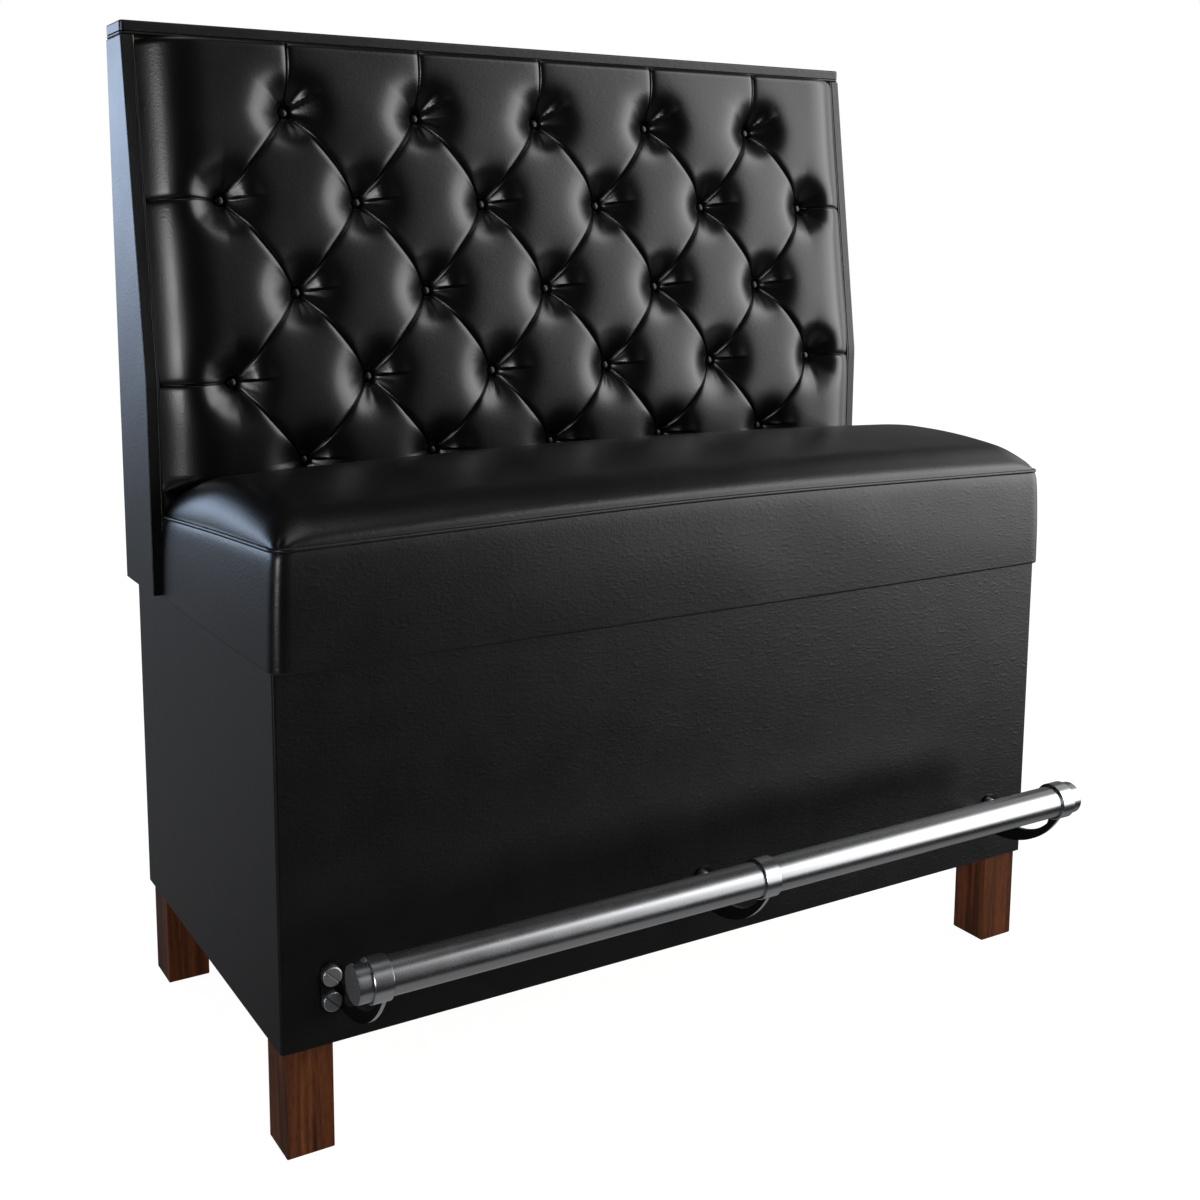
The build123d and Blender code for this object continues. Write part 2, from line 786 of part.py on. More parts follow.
for name, x in (
    ("left_wing_piping", -half_width + piping_radius),
    ("right_wing_piping", half_width - piping_radius),
):
    y_low, z_knee = back_corner(piping_radius)
    with BuildPart() as wing_piping:
        with BuildLine():
            edge_line = FilletPolyline(
                (x, y_low, base_top),
                (x, y_low, z_knee),
                (x, back_y(piping_radius, piping_top), piping_top),
                radius=knee_radius - piping_radius,
            )
        with BuildSketch(Plane(origin=edge_line @ 0, z_dir=edge_line % 0)):
            Circle(piping_radius)
        sweep()
    save(wing_piping, name)

with BuildPart() as wing_screws:
    for x_sign in (-1, 1):
        with BuildSketch(Plane.YZ.offset(x_sign * post_inner)):
            with Locations(*wing_screw_places):
                Circle(wing_screw_diameter / 2)
        extrude(amount=x_sign * (post_width + wing_screw_bite))
        with BuildSketch(Plane.YZ.offset(x_sign * post_inner)):
            with Locations(*wing_screw_places):
                Circle(screw_head_diameter / 2)
        extrude(amount=-x_sign * screw_head_height)
save(wing_screws, "wing_screws")

# Cap: a flat board over wings and frame, with a welt under its rim

cap_mid_y = (wing_top_y + outer_rear_y) / 2
cap_depth = outer_rear_y - wing_top_y

with BuildPart() as top_cap:
    with BuildSketch(Plane.XY.offset(cap_low)):
        with Locations((0, cap_mid_y)):
            RectangleRounded(2 * outer_half, cap_depth, cap_corner_radius)
    extrude(amount=cap_thickness)
    fillet(top_cap.faces().sort_by(Axis.Z)[-1].edges(), cap_edge_radius)
    with BuildSketch(Plane.XY.offset(cap_low)):
        with Locations((0, (top_rail_front_y + rear_y) / 2)):
            with GridLocations(cap_screw_spacing, 0, 4, 1):
                Circle(cap_screw_diameter / 2 + thread_gap)
    extrude(amount=cap_screw_bite, mode=Mode.SUBTRACT)
save(top_cap, "top_cap")

with BuildPart() as cap_screws:
    with BuildSketch(Plane.XY.offset(top_rail_low)):
        with Locations((0, (top_rail_front_y + rear_y) / 2)):
            with GridLocations(cap_screw_spacing, 0, 4, 1):
                Circle(cap_screw_diameter / 2)
    extrude(amount=frame_plate + cap_screw_bite)
    with BuildSketch(Plane.XY.offset(top_rail_low)):
        with Locations((0, (top_rail_front_y + rear_y) / 2)):
            with GridLocations(cap_screw_spacing, 0, 4, 1):
                Circle(screw_head_diameter / 2)
    extrude(amount=-screw_head_height)
save(cap_screws, "cap_screws")

with BuildPart() as top_cap_piping:
    x_rim = outer_half - piping_radius
    y_rim_front = wing_top_y + piping_radius
    y_rim_rear = outer_rear_y - piping_radius
    z_rim = wing_top + piping_radius
    with BuildLine():
        rim = FilletPolyline(
            (-x_rim, y_rim_rear, z_rim),
            (-x_rim, y_rim_front, z_rim),
            (x_rim, y_rim_front, z_rim),
            (x_rim, y_rim_rear, z_rim),
            radius=cap_corner_radius - piping_radius,
            close=True,
        )
    with BuildSketch(Plane(origin=rim @ 0, z_dir=rim % 0)):
        Circle(piping_radius)
    sweep()
save(top_cap_piping, "top_cap_piping")

# Buttoned cushion: a bent slab with rolled sides, folded pleats and a dimple at each button


def arc_angles(reach, rise, radius):
    """The slopes of an arc at its steep start and at its flat end, from its chord."""
    chord_angle = atan2(rise, reach)
    half_turn = asin(hypot(reach, rise) / 2 / radius)
    return chord_angle + half_turn, chord_angle - half_turn


def flank_point(angle, start_angle, radius):
    """The place on a rounded flank, from its foot, where its slope is the given angle."""
    return radius * (sin(start_angle) - sin(angle)), radius * (cos(angle) - cos(start_angle))


def pleat_cutter(start, end, normal):
    """The space above one pleat: two rounded flanks that meet in a fold."""
    along = (end - start).normalized()
    across = normal.cross(along).normalized()
    steep, flat = arc_angles(pleat_reach, pleat_depth, pleat_curve_radius)
    side_x, side_y = flank_point(flat / 2, steep, pleat_curve_radius)
    half_x, half_y = flank_point((steep + flat) / 2, steep, pleat_curve_radius)
    with BuildPart(mode=Mode.PRIVATE) as cutter:
        with BuildSketch(Plane(origin=start, x_dir=across, z_dir=along)):
            with BuildLine():
                ThreePointArc((-side_x, side_y), (-half_x, half_y), (0, 0))
                ThreePointArc((0, 0), (half_x, half_y), (side_x, side_y))
                Polyline(
                    (side_x, side_y),
                    (side_x, side_y + cushion_crest),
                    (-side_x, side_y + cushion_crest),
                    (-side_x, side_y),
                )
            make_face()
        extrude(amount=(end - start).length)
    return cutter.part


def pleat_point(x, z, sink=0):
    """The place of a pleat's fold over a point of the back."""
    return button_plane(x, z, cushion_crest - pleat_depth - sink).origin


def pleat_between(start, end):
    """The cutter from one fold point towards another, clear of the button at its start."""
    along = (end - start).normalized()
    middle_z = (start.Z + end.Z) / 2
    return pleat_cutter(start + along * pleat_setback, end, back_normal(middle_z))


def pleat_cutters():
    """All pleats: between neighbouring buttons, up to the top, and out to the wings."""
    cutters = []
    places = button_places()
    for row, x, z in places:
        for lower_row, lower_x, lower_z in places:
            if lower_row == row + 1 and abs(lower_x - x) < button_spacing:
                start = pleat_point(x, z)
                end = pleat_point(lower_x, lower_z)
                end = end - (end - start).normalized() * pleat_setback
                cutters.append(pleat_between(start, end))
        if row == 1:
            cutters.append(pleat_between(pleat_point(x, z), pleat_point(x, wing_top + overrun)))
        if abs(x) > (even_row_count - 2) / 2 * button_spacing:
            wing_x = cushion_half if x > 0 else -cushion_half
            end = pleat_point(wing_x, z - side_pleat_fall, side_pleat_sink)
            cutters.append(pleat_between(pleat_point(x, z), end))
    return cutters


def dimple_cutter(x, z):
    """The space over one button, with its seat and the hole for its tie."""
    normal = back_normal(z)
    origin = button_plane(x, z).origin
    hole_radius = (tie_diameter + hole_gap) / 2
    hole_end = cushion_sunk + overrun
    steep, flat = arc_angles(dimple_reach - dimple_floor_radius, dimple_rise, dimple_curve_radius)
    half_x, half_y = flank_point((steep + flat) / 2, steep, dimple_curve_radius)
    with BuildPart(mode=Mode.PRIVATE) as cutter:
        with BuildSketch(Plane(origin=origin, x_dir=(1, 0, 0), z_dir=Vector(1, 0, 0).cross(normal))):
            with BuildLine():
                Polyline(
                    (0, dimple_rise + overrun),
                    (0, -hole_end),
                    (hole_radius, -hole_end),
                    (hole_radius, -button_thickness),
                    (dimple_floor_radius, -button_thickness),
                    (dimple_floor_radius, 0),
                )
                ThreePointArc(
                    (dimple_floor_radius, 0),
                    (dimple_floor_radius + half_x, half_y),
                    (dimple_reach, dimple_rise),
                )
                Polyline(
                    (dimple_reach, dimple_rise),
                    (dimple_reach, dimple_rise + overrun),
                    (0, dimple_rise + overrun),
                )
            make_face()
        revolve(axis=Axis(origin, normal))
    return cutter.part


with BuildPart() as tufted_back_cushion:
    with BuildSketch(Plane.YZ.offset(-cushion_half)) as slab:
        with BuildLine():
            cushion_low = base_top + cushion_tuck_height
            Polyline(*profile_between(-cushion_crest, cushion_sunk, cushion_low, cushion_top), close=True)
        make_face()
        crest_knee = slab.vertices().sort_by_distance(back_corner(-cushion_crest))[0]
        fillet(crest_knee, cushion_knee_radius)
    extrude(amount=2 * cushion_half)
    front_faces = tufted_back_cushion.faces().filter_by(lambda face: face.normal_at().Y < facing_front)
    side_edges = front_faces.edges().filter_by(lambda edge: abs(edge.center().X) > cushion_half / 2)
    fillet(side_edges, cushion_side_roll)
    loft(crown_slices(lift=fit_gap), mode=Mode.SUBTRACT)
    cutters = pleat_cutters() + [dimple_cutter(x, z) for row, x, z in button_places()]
    add(cutters, mode=Mode.SUBTRACT)
save(tufted_back_cushion, "tufted_back_cushion")

for number in range(1, len(row_height_shares) + 1):
    with BuildPart() as row_buttons:
        for row, x, z in button_places():
            if row == number:
                with BuildSketch(button_plane(x, z)):
                    Circle(button_diameter / 2)
                extrude(amount=-button_thickness)
        domes = [disc.faces().sort_by(Axis.Y)[0].edges() for disc in row_buttons.solids()]
        fillet(domes, button_edge)
    save(row_buttons, f"tuft_buttons_row_{number}")

with BuildPart() as tuft_button_ties:
    for row, x, z in button_places():
        with BuildSketch(button_plane(x, z, -button_thickness)):
            Circle(tie_diameter / 2)
        extrude(amount=button_thickness - backer_rear)
        with BuildSketch(button_plane(x, z, -backer_rear)):
            Circle(tie_toggle_diameter / 2)
        extrude(amount=-tie_toggle_thickness)
save(tuft_button_ties, "tuft_button_ties")

# Foot rail: a capped tube in three brackets, each bolted through the base front

tube_half = rail_length / 2 - rail_cap_thickness
rail_radius = rail_diameter / 2
collar_radius = collar_diameter / 2
collar_bore_radius = rail_radius + thread_gap
collar_middle_radius = (collar_radius + collar_bore_radius) / 2


def rail_plane(x):
    """The upright plane across the rail at x, centred on the rail's axis."""
    return Plane(origin=(x, rail_y, rail_height), x_dir=(0, 1, 0), z_dir=(1, 0, 0))


with BuildPart() as foot_rail_tube:
    with BuildSketch(rail_plane(-tube_half)):
        Circle(rail_radius)
        Circle(rail_radius - rail_wall, mode=Mode.SUBTRACT)
    extrude(amount=2 * tube_half)
save(foot_rail_tube, "foot_rail_tube")

for name, x_sign in (("foot_rail_left_cap", -1), ("foot_rail_right_cap", 1)):
    with BuildPart() as rail_cap:
        with BuildSketch(rail_plane(x_sign * tube_half)):
            Circle(rail_cap_diameter / 2)
        extrude(amount=x_sign * rail_cap_thickness)
        with BuildSketch(rail_plane(x_sign * tube_half)):
            Circle(rail_radius - rail_wall - fit_gap)
        extrude(amount=-x_sign * rail_plug_length)
    save(rail_cap, name)


def arm_outline():
    """Draw an arm's outline round the rail's axis, from its root to inside the collar."""
    root_y = front_y - rail_y
    low_root = (root_y, arm_root_low_rise - rail_rise)
    low_sag = (root_y - arm_sag_reach, arm_sag_rise - rail_rise)
    high_neck = (root_y - arm_neck_reach, arm_neck_rise - rail_rise)
    high_sag = (root_y - arm_inner_reach, arm_inner_rise - rail_rise)
    high_root = (root_y, arm_root_high_rise - rail_rise)
    tips = []
    for degrees in (arm_tip_low_angle, arm_tip_high_angle):
        tips.append(Vector(collar_middle_radius, 0).rotate(Axis.Z, degrees))
    ThreePointArc(low_root, low_sag, tips[0])
    Polyline(tips[0], tips[1], high_neck)
    ThreePointArc(high_neck, high_sag, high_root)
    Line(high_root, low_root)


bracket_names = ("foot_rail_left_bracket", "foot_rail_centre_bracket", "foot_rail_right_bracket")
for name, x_place in zip(bracket_names, bracket_places):
    with BuildPart() as bracket:
        with BuildSketch(rail_plane(x_place - collar_width / 2)):
            Circle(collar_radius)
        extrude(amount=collar_width)
        rims = bracket.edges().filter_by(GeomType.CIRCLE)
        chamfer(rims, collar_chamfer)
        with BuildSketch(rail_plane(x_place + arm_offset)):
            with BuildLine():
                arm_outline()
            make_face()
        extrude(amount=arm_thickness)
        with BuildSketch(across_wall(front_y)):
            with Locations((x_place + pad_offset, pad_centre_height)):
                RectangleRounded(pad_width, pad_height, pad_corner_radius)
        extrude(amount=pad_thickness)
        with BuildSketch(rail_plane(x_place - collar_width / 2)):
            Circle(collar_bore_radius)
        extrude(amount=collar_width, mode=Mode.SUBTRACT)
        with BuildSketch(across_wall(front_y)):
            with Locations(*[(x_place + rail_bolt_offset, z) for z in rail_bolt_heights]):
                Circle((rail_bolt_diameter + hole_gap) / 2)
        extrude(amount=pad_thickness, mode=Mode.SUBTRACT)
        with BuildSketch(across_wall(rail_y)):
            with Locations((x_place, rail_height)):
                Circle(set_screw_diameter / 2 + thread_gap)
        extrude(amount=-(collar_radius + overrun), mode=Mode.SUBTRACT)
    save(bracket, name)

with BuildPart() as foot_rail_set_screws:
    with BuildSketch(across_wall(rail_y + rail_radius)):
        with Locations(*[(x, rail_height) for x in bracket_places]):
            Circle(set_screw_diameter / 2)
    extrude(amount=-(collar_radius - rail_radius))
save(foot_rail_set_screws, "foot_rail_set_screws")

with BuildPart() as foot_rail_bolts:
    with BuildSketch(across_wall(front_y - pad_thickness)):
        with Locations(*rail_bolt_places):
            Circle(rail_bolt_head_diameter / 2)
    extrude(amount=rail_bolt_head_height)
    head_rims = foot_rail_bolts.faces().sort_by(Axis.Y)[: len(rail_bolt_places)].edges()
    fillet(head_rims, rail_bolt_edge_radius)
    with BuildSketch(across_wall(front_y - pad_thickness - rail_bolt_head_height)):
        with Locations(*rail_bolt_places):
            Rectangle(2 * rail_bolt_head_diameter, rail_bolt_slot_width, rotation=-rail_bolt_slot_angle)
            Circle(rail_bolt_head_diameter / 2, mode=Mode.INTERSECT)
    extrude(amount=-rail_bolt_slot_depth, mode=Mode.SUBTRACT)
    with BuildSketch(across_wall(front_y - pad_thickness)):
        with Locations(*rail_bolt_places):
            Circle(rail_bolt_diameter / 2)
    extrude(amount=-(inside_front_y - front_y + pad_thickness + rail_nut_height + bolt_tail))
save(foot_rail_bolts, "foot_rail_bolts")

with BuildPart() as foot_rail_nuts:
    with BuildSketch(across_wall(inside_front_y)):
        with Locations(*rail_bolt_places):
            RegularPolygon(rail_nut_width / 2, hex_sides, major_radius=False)
            Circle(rail_bolt_diameter / 2 + thread_gap, mode=Mode.SUBTRACT)
    extrude(amount=-rail_nut_height)
save(foot_rail_nuts, "foot_rail_nuts")
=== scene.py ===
"""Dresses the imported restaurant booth: soft vinyl cushions, finishes, light and camera."""
import json
import logging
import math
from dataclasses import dataclass, field
from enum import Enum
from typing import Iterable, Optional, Sequence

import bpy
import numpy as np
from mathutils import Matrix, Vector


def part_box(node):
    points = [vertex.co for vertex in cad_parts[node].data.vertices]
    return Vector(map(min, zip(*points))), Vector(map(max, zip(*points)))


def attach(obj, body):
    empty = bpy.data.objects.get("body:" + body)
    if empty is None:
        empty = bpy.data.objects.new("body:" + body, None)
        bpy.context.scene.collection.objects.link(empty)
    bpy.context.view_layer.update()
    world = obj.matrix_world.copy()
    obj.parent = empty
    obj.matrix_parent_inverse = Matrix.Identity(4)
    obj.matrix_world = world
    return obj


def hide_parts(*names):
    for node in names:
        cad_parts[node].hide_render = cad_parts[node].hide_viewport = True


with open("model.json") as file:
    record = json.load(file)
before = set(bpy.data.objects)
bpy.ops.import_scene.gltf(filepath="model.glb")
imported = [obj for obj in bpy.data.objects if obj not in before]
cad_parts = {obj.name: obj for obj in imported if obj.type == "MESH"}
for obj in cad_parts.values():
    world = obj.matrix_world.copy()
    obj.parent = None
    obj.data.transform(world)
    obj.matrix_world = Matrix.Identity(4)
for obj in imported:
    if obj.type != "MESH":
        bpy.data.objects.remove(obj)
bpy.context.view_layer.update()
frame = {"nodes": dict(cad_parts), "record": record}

LOG = logging.getLogger("booth")
MM = 0.001
BODY = "root"


class Slot(Enum):
    """The record's material slots."""

    SEAT_VINYL = "seat_vinyl"
    TUFTED_VINYL = "tufted_vinyl"
    PIPING_VINYL = "piping_vinyl"
    WALNUT_LEG = "walnut_leg"
    FRAME_WOOD = "frame_wood"
    RAIL_STEEL = "rail_steel"
    BRACKET_STEEL = "bracket_steel"
    BOLT_STEEL = "bolt_steel"
    ZINC_HARDWARE = "zinc_hardware"
    TIE_TWINE = "tie_twine"


def linear(srgb: str) -> tuple[float, float, float, float]:
    """Turn an sRGB hex colour into linear values.

    Args:
        srgb: six hex digits, such as "1a1b1e".

    Returns:
        Red, green, blue and an alpha of 1.
    """
    parts = [int(srgb[i : i + 2], 16) / 255 for i in (0, 2, 4)]
    red, green, blue = (c / 12.92 if c <= 0.04045 else ((c + 0.055) / 1.055) ** 2.4 for c in parts)
    return red, green, blue, 1.0


def add_node(
    tree: bpy.types.NodeTree,
    kind: str,
    settings: Optional[dict] = None,
    values: Optional[dict] = None,
    links: Optional[dict] = None,
) -> bpy.types.Node:
    """Add one node with its settings and links.

    Args:
        tree: the node tree.
        kind: the node's type name.
        settings: attributes to set on the node.
        values: input sockets, by name or number, and their plain values.
        links: input sockets, by name or number, and the outputs that feed them.

    Returns:
        The new node.
    """
    node = tree.nodes.new(kind)
    for name, value in (settings or {}).items():
        setattr(node, name, value)
    for socket, value in (values or {}).items():
        node.inputs[socket].default_value = value
    for socket, source in (links or {}).items():
        tree.links.new(source, node.inputs[socket])
    return node


def set_ramp(node: bpy.types.Node, *stops: tuple[float, str]) -> None:
    """Give a colour ramp its stops.

    Args:
        node: the colour ramp node.
        stops: positions from 0 to 1 and their sRGB hex colours.
    """
    ramp = node.color_ramp
    while len(ramp.elements) < len(stops):
        ramp.elements.new(0.5)
    for element, (position, colour) in zip(ramp.elements, stops):
        element.position = position
        element.color = linear(colour)


def new_material(name: str) -> tuple[bpy.types.Material, bpy.types.NodeTree, bpy.types.Node]:
    """Start a material with a shader and an output.

    Args:
        name: the material's name.

    Returns:
        The material, its node tree and its Principled shader.
    """
    material = bpy.data.materials.new(name)
    material.use_nodes = True
    tree = material.node_tree
    tree.nodes.clear()
    shader = add_node(tree, "ShaderNodeBsdfPrincipled")
    add_node(tree, "ShaderNodeOutputMaterial", links={"Surface": shader.outputs["BSDF"]})
    return material, tree, shader


def add_patches(
    tree: bpy.types.NodeTree,
    shader: bpy.types.Node,
    place: bpy.types.NodeSocket,
    patch_mm: float,
    roughness: float,
    spread: tuple[float, float] = (0.04, 0.06),
    detail: float = 3.0,
    fineness: float = 0.5,
) -> bpy.types.NodeSocket:
    """Let a finish's sheen wander in soft patches, as handling and cleaning leave it.

    Args:
        tree: the material's node tree.
        shader: its shader.
        place: each point's place on the object.
        patch_mm: the patches' size.
        roughness: the finish's usual roughness.
        spread: how far the glossiest patches go below it, and the dullest ones above it.
        detail: how many finer sizes are laid over the patches.
        fineness: how strong the finer ones are.

    Returns:
        The patches, from 0 to 1.
    """
    patch = add_node(
        tree, "ShaderNodeTexNoise",
        values={"Scale": 1 / (patch_mm * MM), "Detail": detail, "Roughness": fineness},
        links={"Vector": place},
    )
    gloss = add_node(
        tree, "ShaderNodeMapRange",
        values={"To Min": roughness - spread[0], "To Max": roughness + spread[1]},
        links={"Value": patch.outputs["Fac"]},
    )
    tree.links.new(gloss.outputs["Result"], shader.inputs["Roughness"])
    return patch.outputs["Fac"]


@dataclass(frozen=True)
class UpholsteryVinyl:
    """Expanded PVC on a knit backing, embossed with a leather grain and wiped with a clear topcoat.

    The topcoat gives broad soft highlights, and the grain breaks them into a fine sparkle. The
    grain is drawn a little coarser than the real one, so that it shows.
    """

    name: str
    colour: str = "050506"
    worn_colour: str = "080809"
    roughness: float = 0.34
    specular: float = 0.5
    grain_mm: float = 2.4
    grain_depth_mm: float = 0.14
    grain_strength: float = 0.7
    crease_mm: float = 5.0
    crease_depth_mm: float = 0.30
    crease_strength: float = 0.6
    crease_stretch: float = 0.45
    wave_mm: float = 90.0
    wave_depth_mm: float = 0.4
    patch_mm: float = 71.4

    def make(self) -> bpy.types.Material:
        """Build the vinyl's node tree.

        Returns:
            The material.
        """
        material, tree, shader = new_material(self.name)
        place = add_node(tree, "ShaderNodeTexCoord").outputs["Object"]
        grain = add_node(
            tree, "ShaderNodeTexVoronoi", {"feature": "SMOOTH_F1"},
            {"Scale": 1 / (self.grain_mm * MM), "Smoothness": 0.6}, {"Vector": place},
        )
        along = add_node(
            tree, "ShaderNodeMapping", values={"Scale": (self.crease_stretch, 1, 1)},
            links={"Vector": place},
        ).outputs["Vector"]
        crease = add_node(
            tree, "ShaderNodeTexNoise", {"noise_type": "RIDGED_MULTIFRACTAL"},
            {"Scale": 1 / (self.crease_mm * MM), "Detail": 3.0, "Roughness": 0.55}, {"Vector": along},
        )
        wave = add_node(
            tree, "ShaderNodeTexNoise", values={"Scale": 1 / (self.wave_mm * MM), "Detail": 1.0},
            links={"Vector": place},
        )
        relief: dict = {}
        for pattern, strength, depth_mm in (
            (wave.outputs["Fac"], 1.0, self.wave_depth_mm),
            (crease.outputs["Fac"], self.crease_strength, self.crease_depth_mm),
            (grain.outputs["Distance"], self.grain_strength, self.grain_depth_mm),
        ):
            bump = add_node(
                tree, "ShaderNodeBump", values={"Strength": strength, "Distance": depth_mm * MM},
                links={"Height": pattern, **relief},
            )
            relief = {"Normal": bump.outputs["Normal"]}
        patches = add_patches(
            tree, shader, place, self.patch_mm, self.roughness, (0.03, 0.05), detail=4.0, fineness=0.6
        )
        tone = add_node(tree, "ShaderNodeValToRGB", links={"Fac": patches})
        set_ramp(tone, (0.35, self.colour), (0.7, self.worn_colour))
        tree.links.new(tone.outputs["Color"], shader.inputs["Base Color"])
        tree.links.new(relief["Normal"], shader.inputs["Normal"])
        shader.inputs["Specular IOR Level"].default_value = self.specular
        return material


@dataclass(frozen=True)
class StainedWalnut:
    """Solid walnut, sanded, stained and sprayed with a satin lacquer.

    The eye gets upright dark pores on warm brown bands, under a quiet sheen.
    """

    name: str
    dark: str = "2e1508"
    middle: str = "522a11"
    light: str = "6b3a1b"
    roughness: float = 0.42
    specular: float = 0.2
    band_mm: float = 16.0
    pore_mm: float = 0.9
    pore_depth_mm: float = 0.1
    pore_strength: float = 0.8
    pore_tint: str = "b3adaa"
    no_tint: str = "ffffff"
    length_ratio: float = 18.0

    def make(self) -> bpy.types.Material:
        """Build the wood's node tree.

        Returns:
            The material.
        """
        material, tree, shader = new_material(self.name)
        place = add_node(tree, "ShaderNodeTexCoord").outputs["Object"]
        upright = add_node(
            tree, "ShaderNodeMapping", values={"Scale": (1, 1, 1 / self.length_ratio)},
            links={"Vector": place},
        ).outputs["Vector"]
        band = add_node(
            tree, "ShaderNodeTexNoise",
            values={"Scale": 1 / (self.band_mm * MM), "Detail": 5.0, "Distortion": 1.4},
            links={"Vector": upright},
        )
        pore = add_node(
            tree, "ShaderNodeTexNoise",
            values={"Scale": 1 / (self.pore_mm * MM), "Detail": 3.0, "Roughness": 0.7},
            links={"Vector": upright},
        )
        tone = add_node(tree, "ShaderNodeValToRGB", links={"Fac": band.outputs["Fac"]})
        set_ramp(tone, (0.32, self.dark), (0.52, self.middle), (0.72, self.light))
        pore_shade = add_node(tree, "ShaderNodeValToRGB", links={"Fac": pore.outputs["Fac"]})
        set_ramp(pore_shade, (0.38, self.pore_tint), (0.55, self.no_tint))
        mixed = add_node(
            tree, "ShaderNodeMix", {"data_type": "RGBA", "blend_type": "MULTIPLY"},
            {0: self.pore_strength}, {6: tone.outputs["Color"], 7: pore_shade.outputs["Color"]},
        )
        bump = add_node(
            tree, "ShaderNodeBump", values={"Strength": 0.5, "Distance": self.pore_depth_mm * MM},
            links={"Height": pore.outputs["Fac"]},
        )
        tree.links.new(mixed.outputs[2], shader.inputs["Base Color"])
        tree.links.new(bump.outputs["Normal"], shader.inputs["Normal"])
        shader.inputs["Roughness"].default_value = self.roughness
        shader.inputs["Specular IOR Level"].default_value = self.specular
        return material


@dataclass(frozen=True)
class FrameWood:
    """Raw softwood and plywood of the hidden frame, sawn and left bare.

    The eye gets pale fibres along the boards and no sheen.
    """

    name: str
    dark: str = "a9865a"
    light: str = "cfae82"
    roughness: float = 0.75
    fibre_mm: float = 3.0
    fibre_depth_mm: float = 0.2
    length_ratio: float = 16.7

    def make(self) -> bpy.types.Material:
        """Build the raw wood's node tree.

        Returns:
            The material.
        """
        material, tree, shader = new_material(self.name)
        place = add_node(tree, "ShaderNodeTexCoord").outputs["Object"]
        along = add_node(
            tree, "ShaderNodeMapping", values={"Scale": (1 / self.length_ratio, 1, 1)},
            links={"Vector": place},
        ).outputs["Vector"]
        fibre = add_node(
            tree, "ShaderNodeTexNoise", values={"Scale": 1 / (self.fibre_mm * MM), "Detail": 4.0},
            links={"Vector": along},
        )
        tone = add_node(tree, "ShaderNodeValToRGB", links={"Fac": fibre.outputs["Fac"]})
        set_ramp(tone, (0.3, self.dark), (0.7, self.light))
        bump = add_node(
            tree, "ShaderNodeBump", values={"Strength": 0.4, "Distance": self.fibre_depth_mm * MM},
            links={"Height": fibre.outputs["Fac"]},
        )
        tree.links.new(tone.outputs["Color"], shader.inputs["Base Color"])
        tree.links.new(bump.outputs["Normal"], shader.inputs["Normal"])
        shader.inputs["Roughness"].default_value = self.roughness
        return material


@dataclass(frozen=True)
class BrushedMetal:
    """Stainless or zinc-plated steel with a satin finish from a fine abrasive belt.

    The eye gets long soft streaks along the belt's run and a slightly uneven sheen. The streaks
    are drawn coarser than the grit's real scratches, so that they show.
    """

    name: str
    colour: str = "b9babd"
    roughness: float = 0.24
    grit_mm: float = 0.7
    streak: tuple[float, float, float] = (1.0, 1.0, 1.0)
    scratch_depth_mm: float = 0.003
    haze_mm: float = 45.5

    def make(self) -> bpy.types.Material:
        """Build the metal's node tree.

        Returns:
            The material.
        """
        material, tree, shader = new_material(self.name)
        place = add_node(tree, "ShaderNodeTexCoord").outputs["Object"]
        along = add_node(
            tree, "ShaderNodeMapping", values={"Scale": self.streak}, links={"Vector": place}
        ).outputs["Vector"]
        scratch = add_node(
            tree, "ShaderNodeTexNoise",
            values={"Scale": 1 / (self.grit_mm * MM), "Detail": 2.0}, links={"Vector": along},
        )
        bump = add_node(
            tree, "ShaderNodeBump", values={"Strength": 0.5, "Distance": self.scratch_depth_mm * MM},
            links={"Height": scratch.outputs["Fac"]},
        )
        add_patches(tree, shader, place, self.haze_mm, self.roughness)
        tree.links.new(bump.outputs["Normal"], shader.inputs["Normal"])
        shader.inputs["Base Color"].default_value = linear(self.colour)
        shader.inputs["Metallic"].default_value = 1.0
        return material


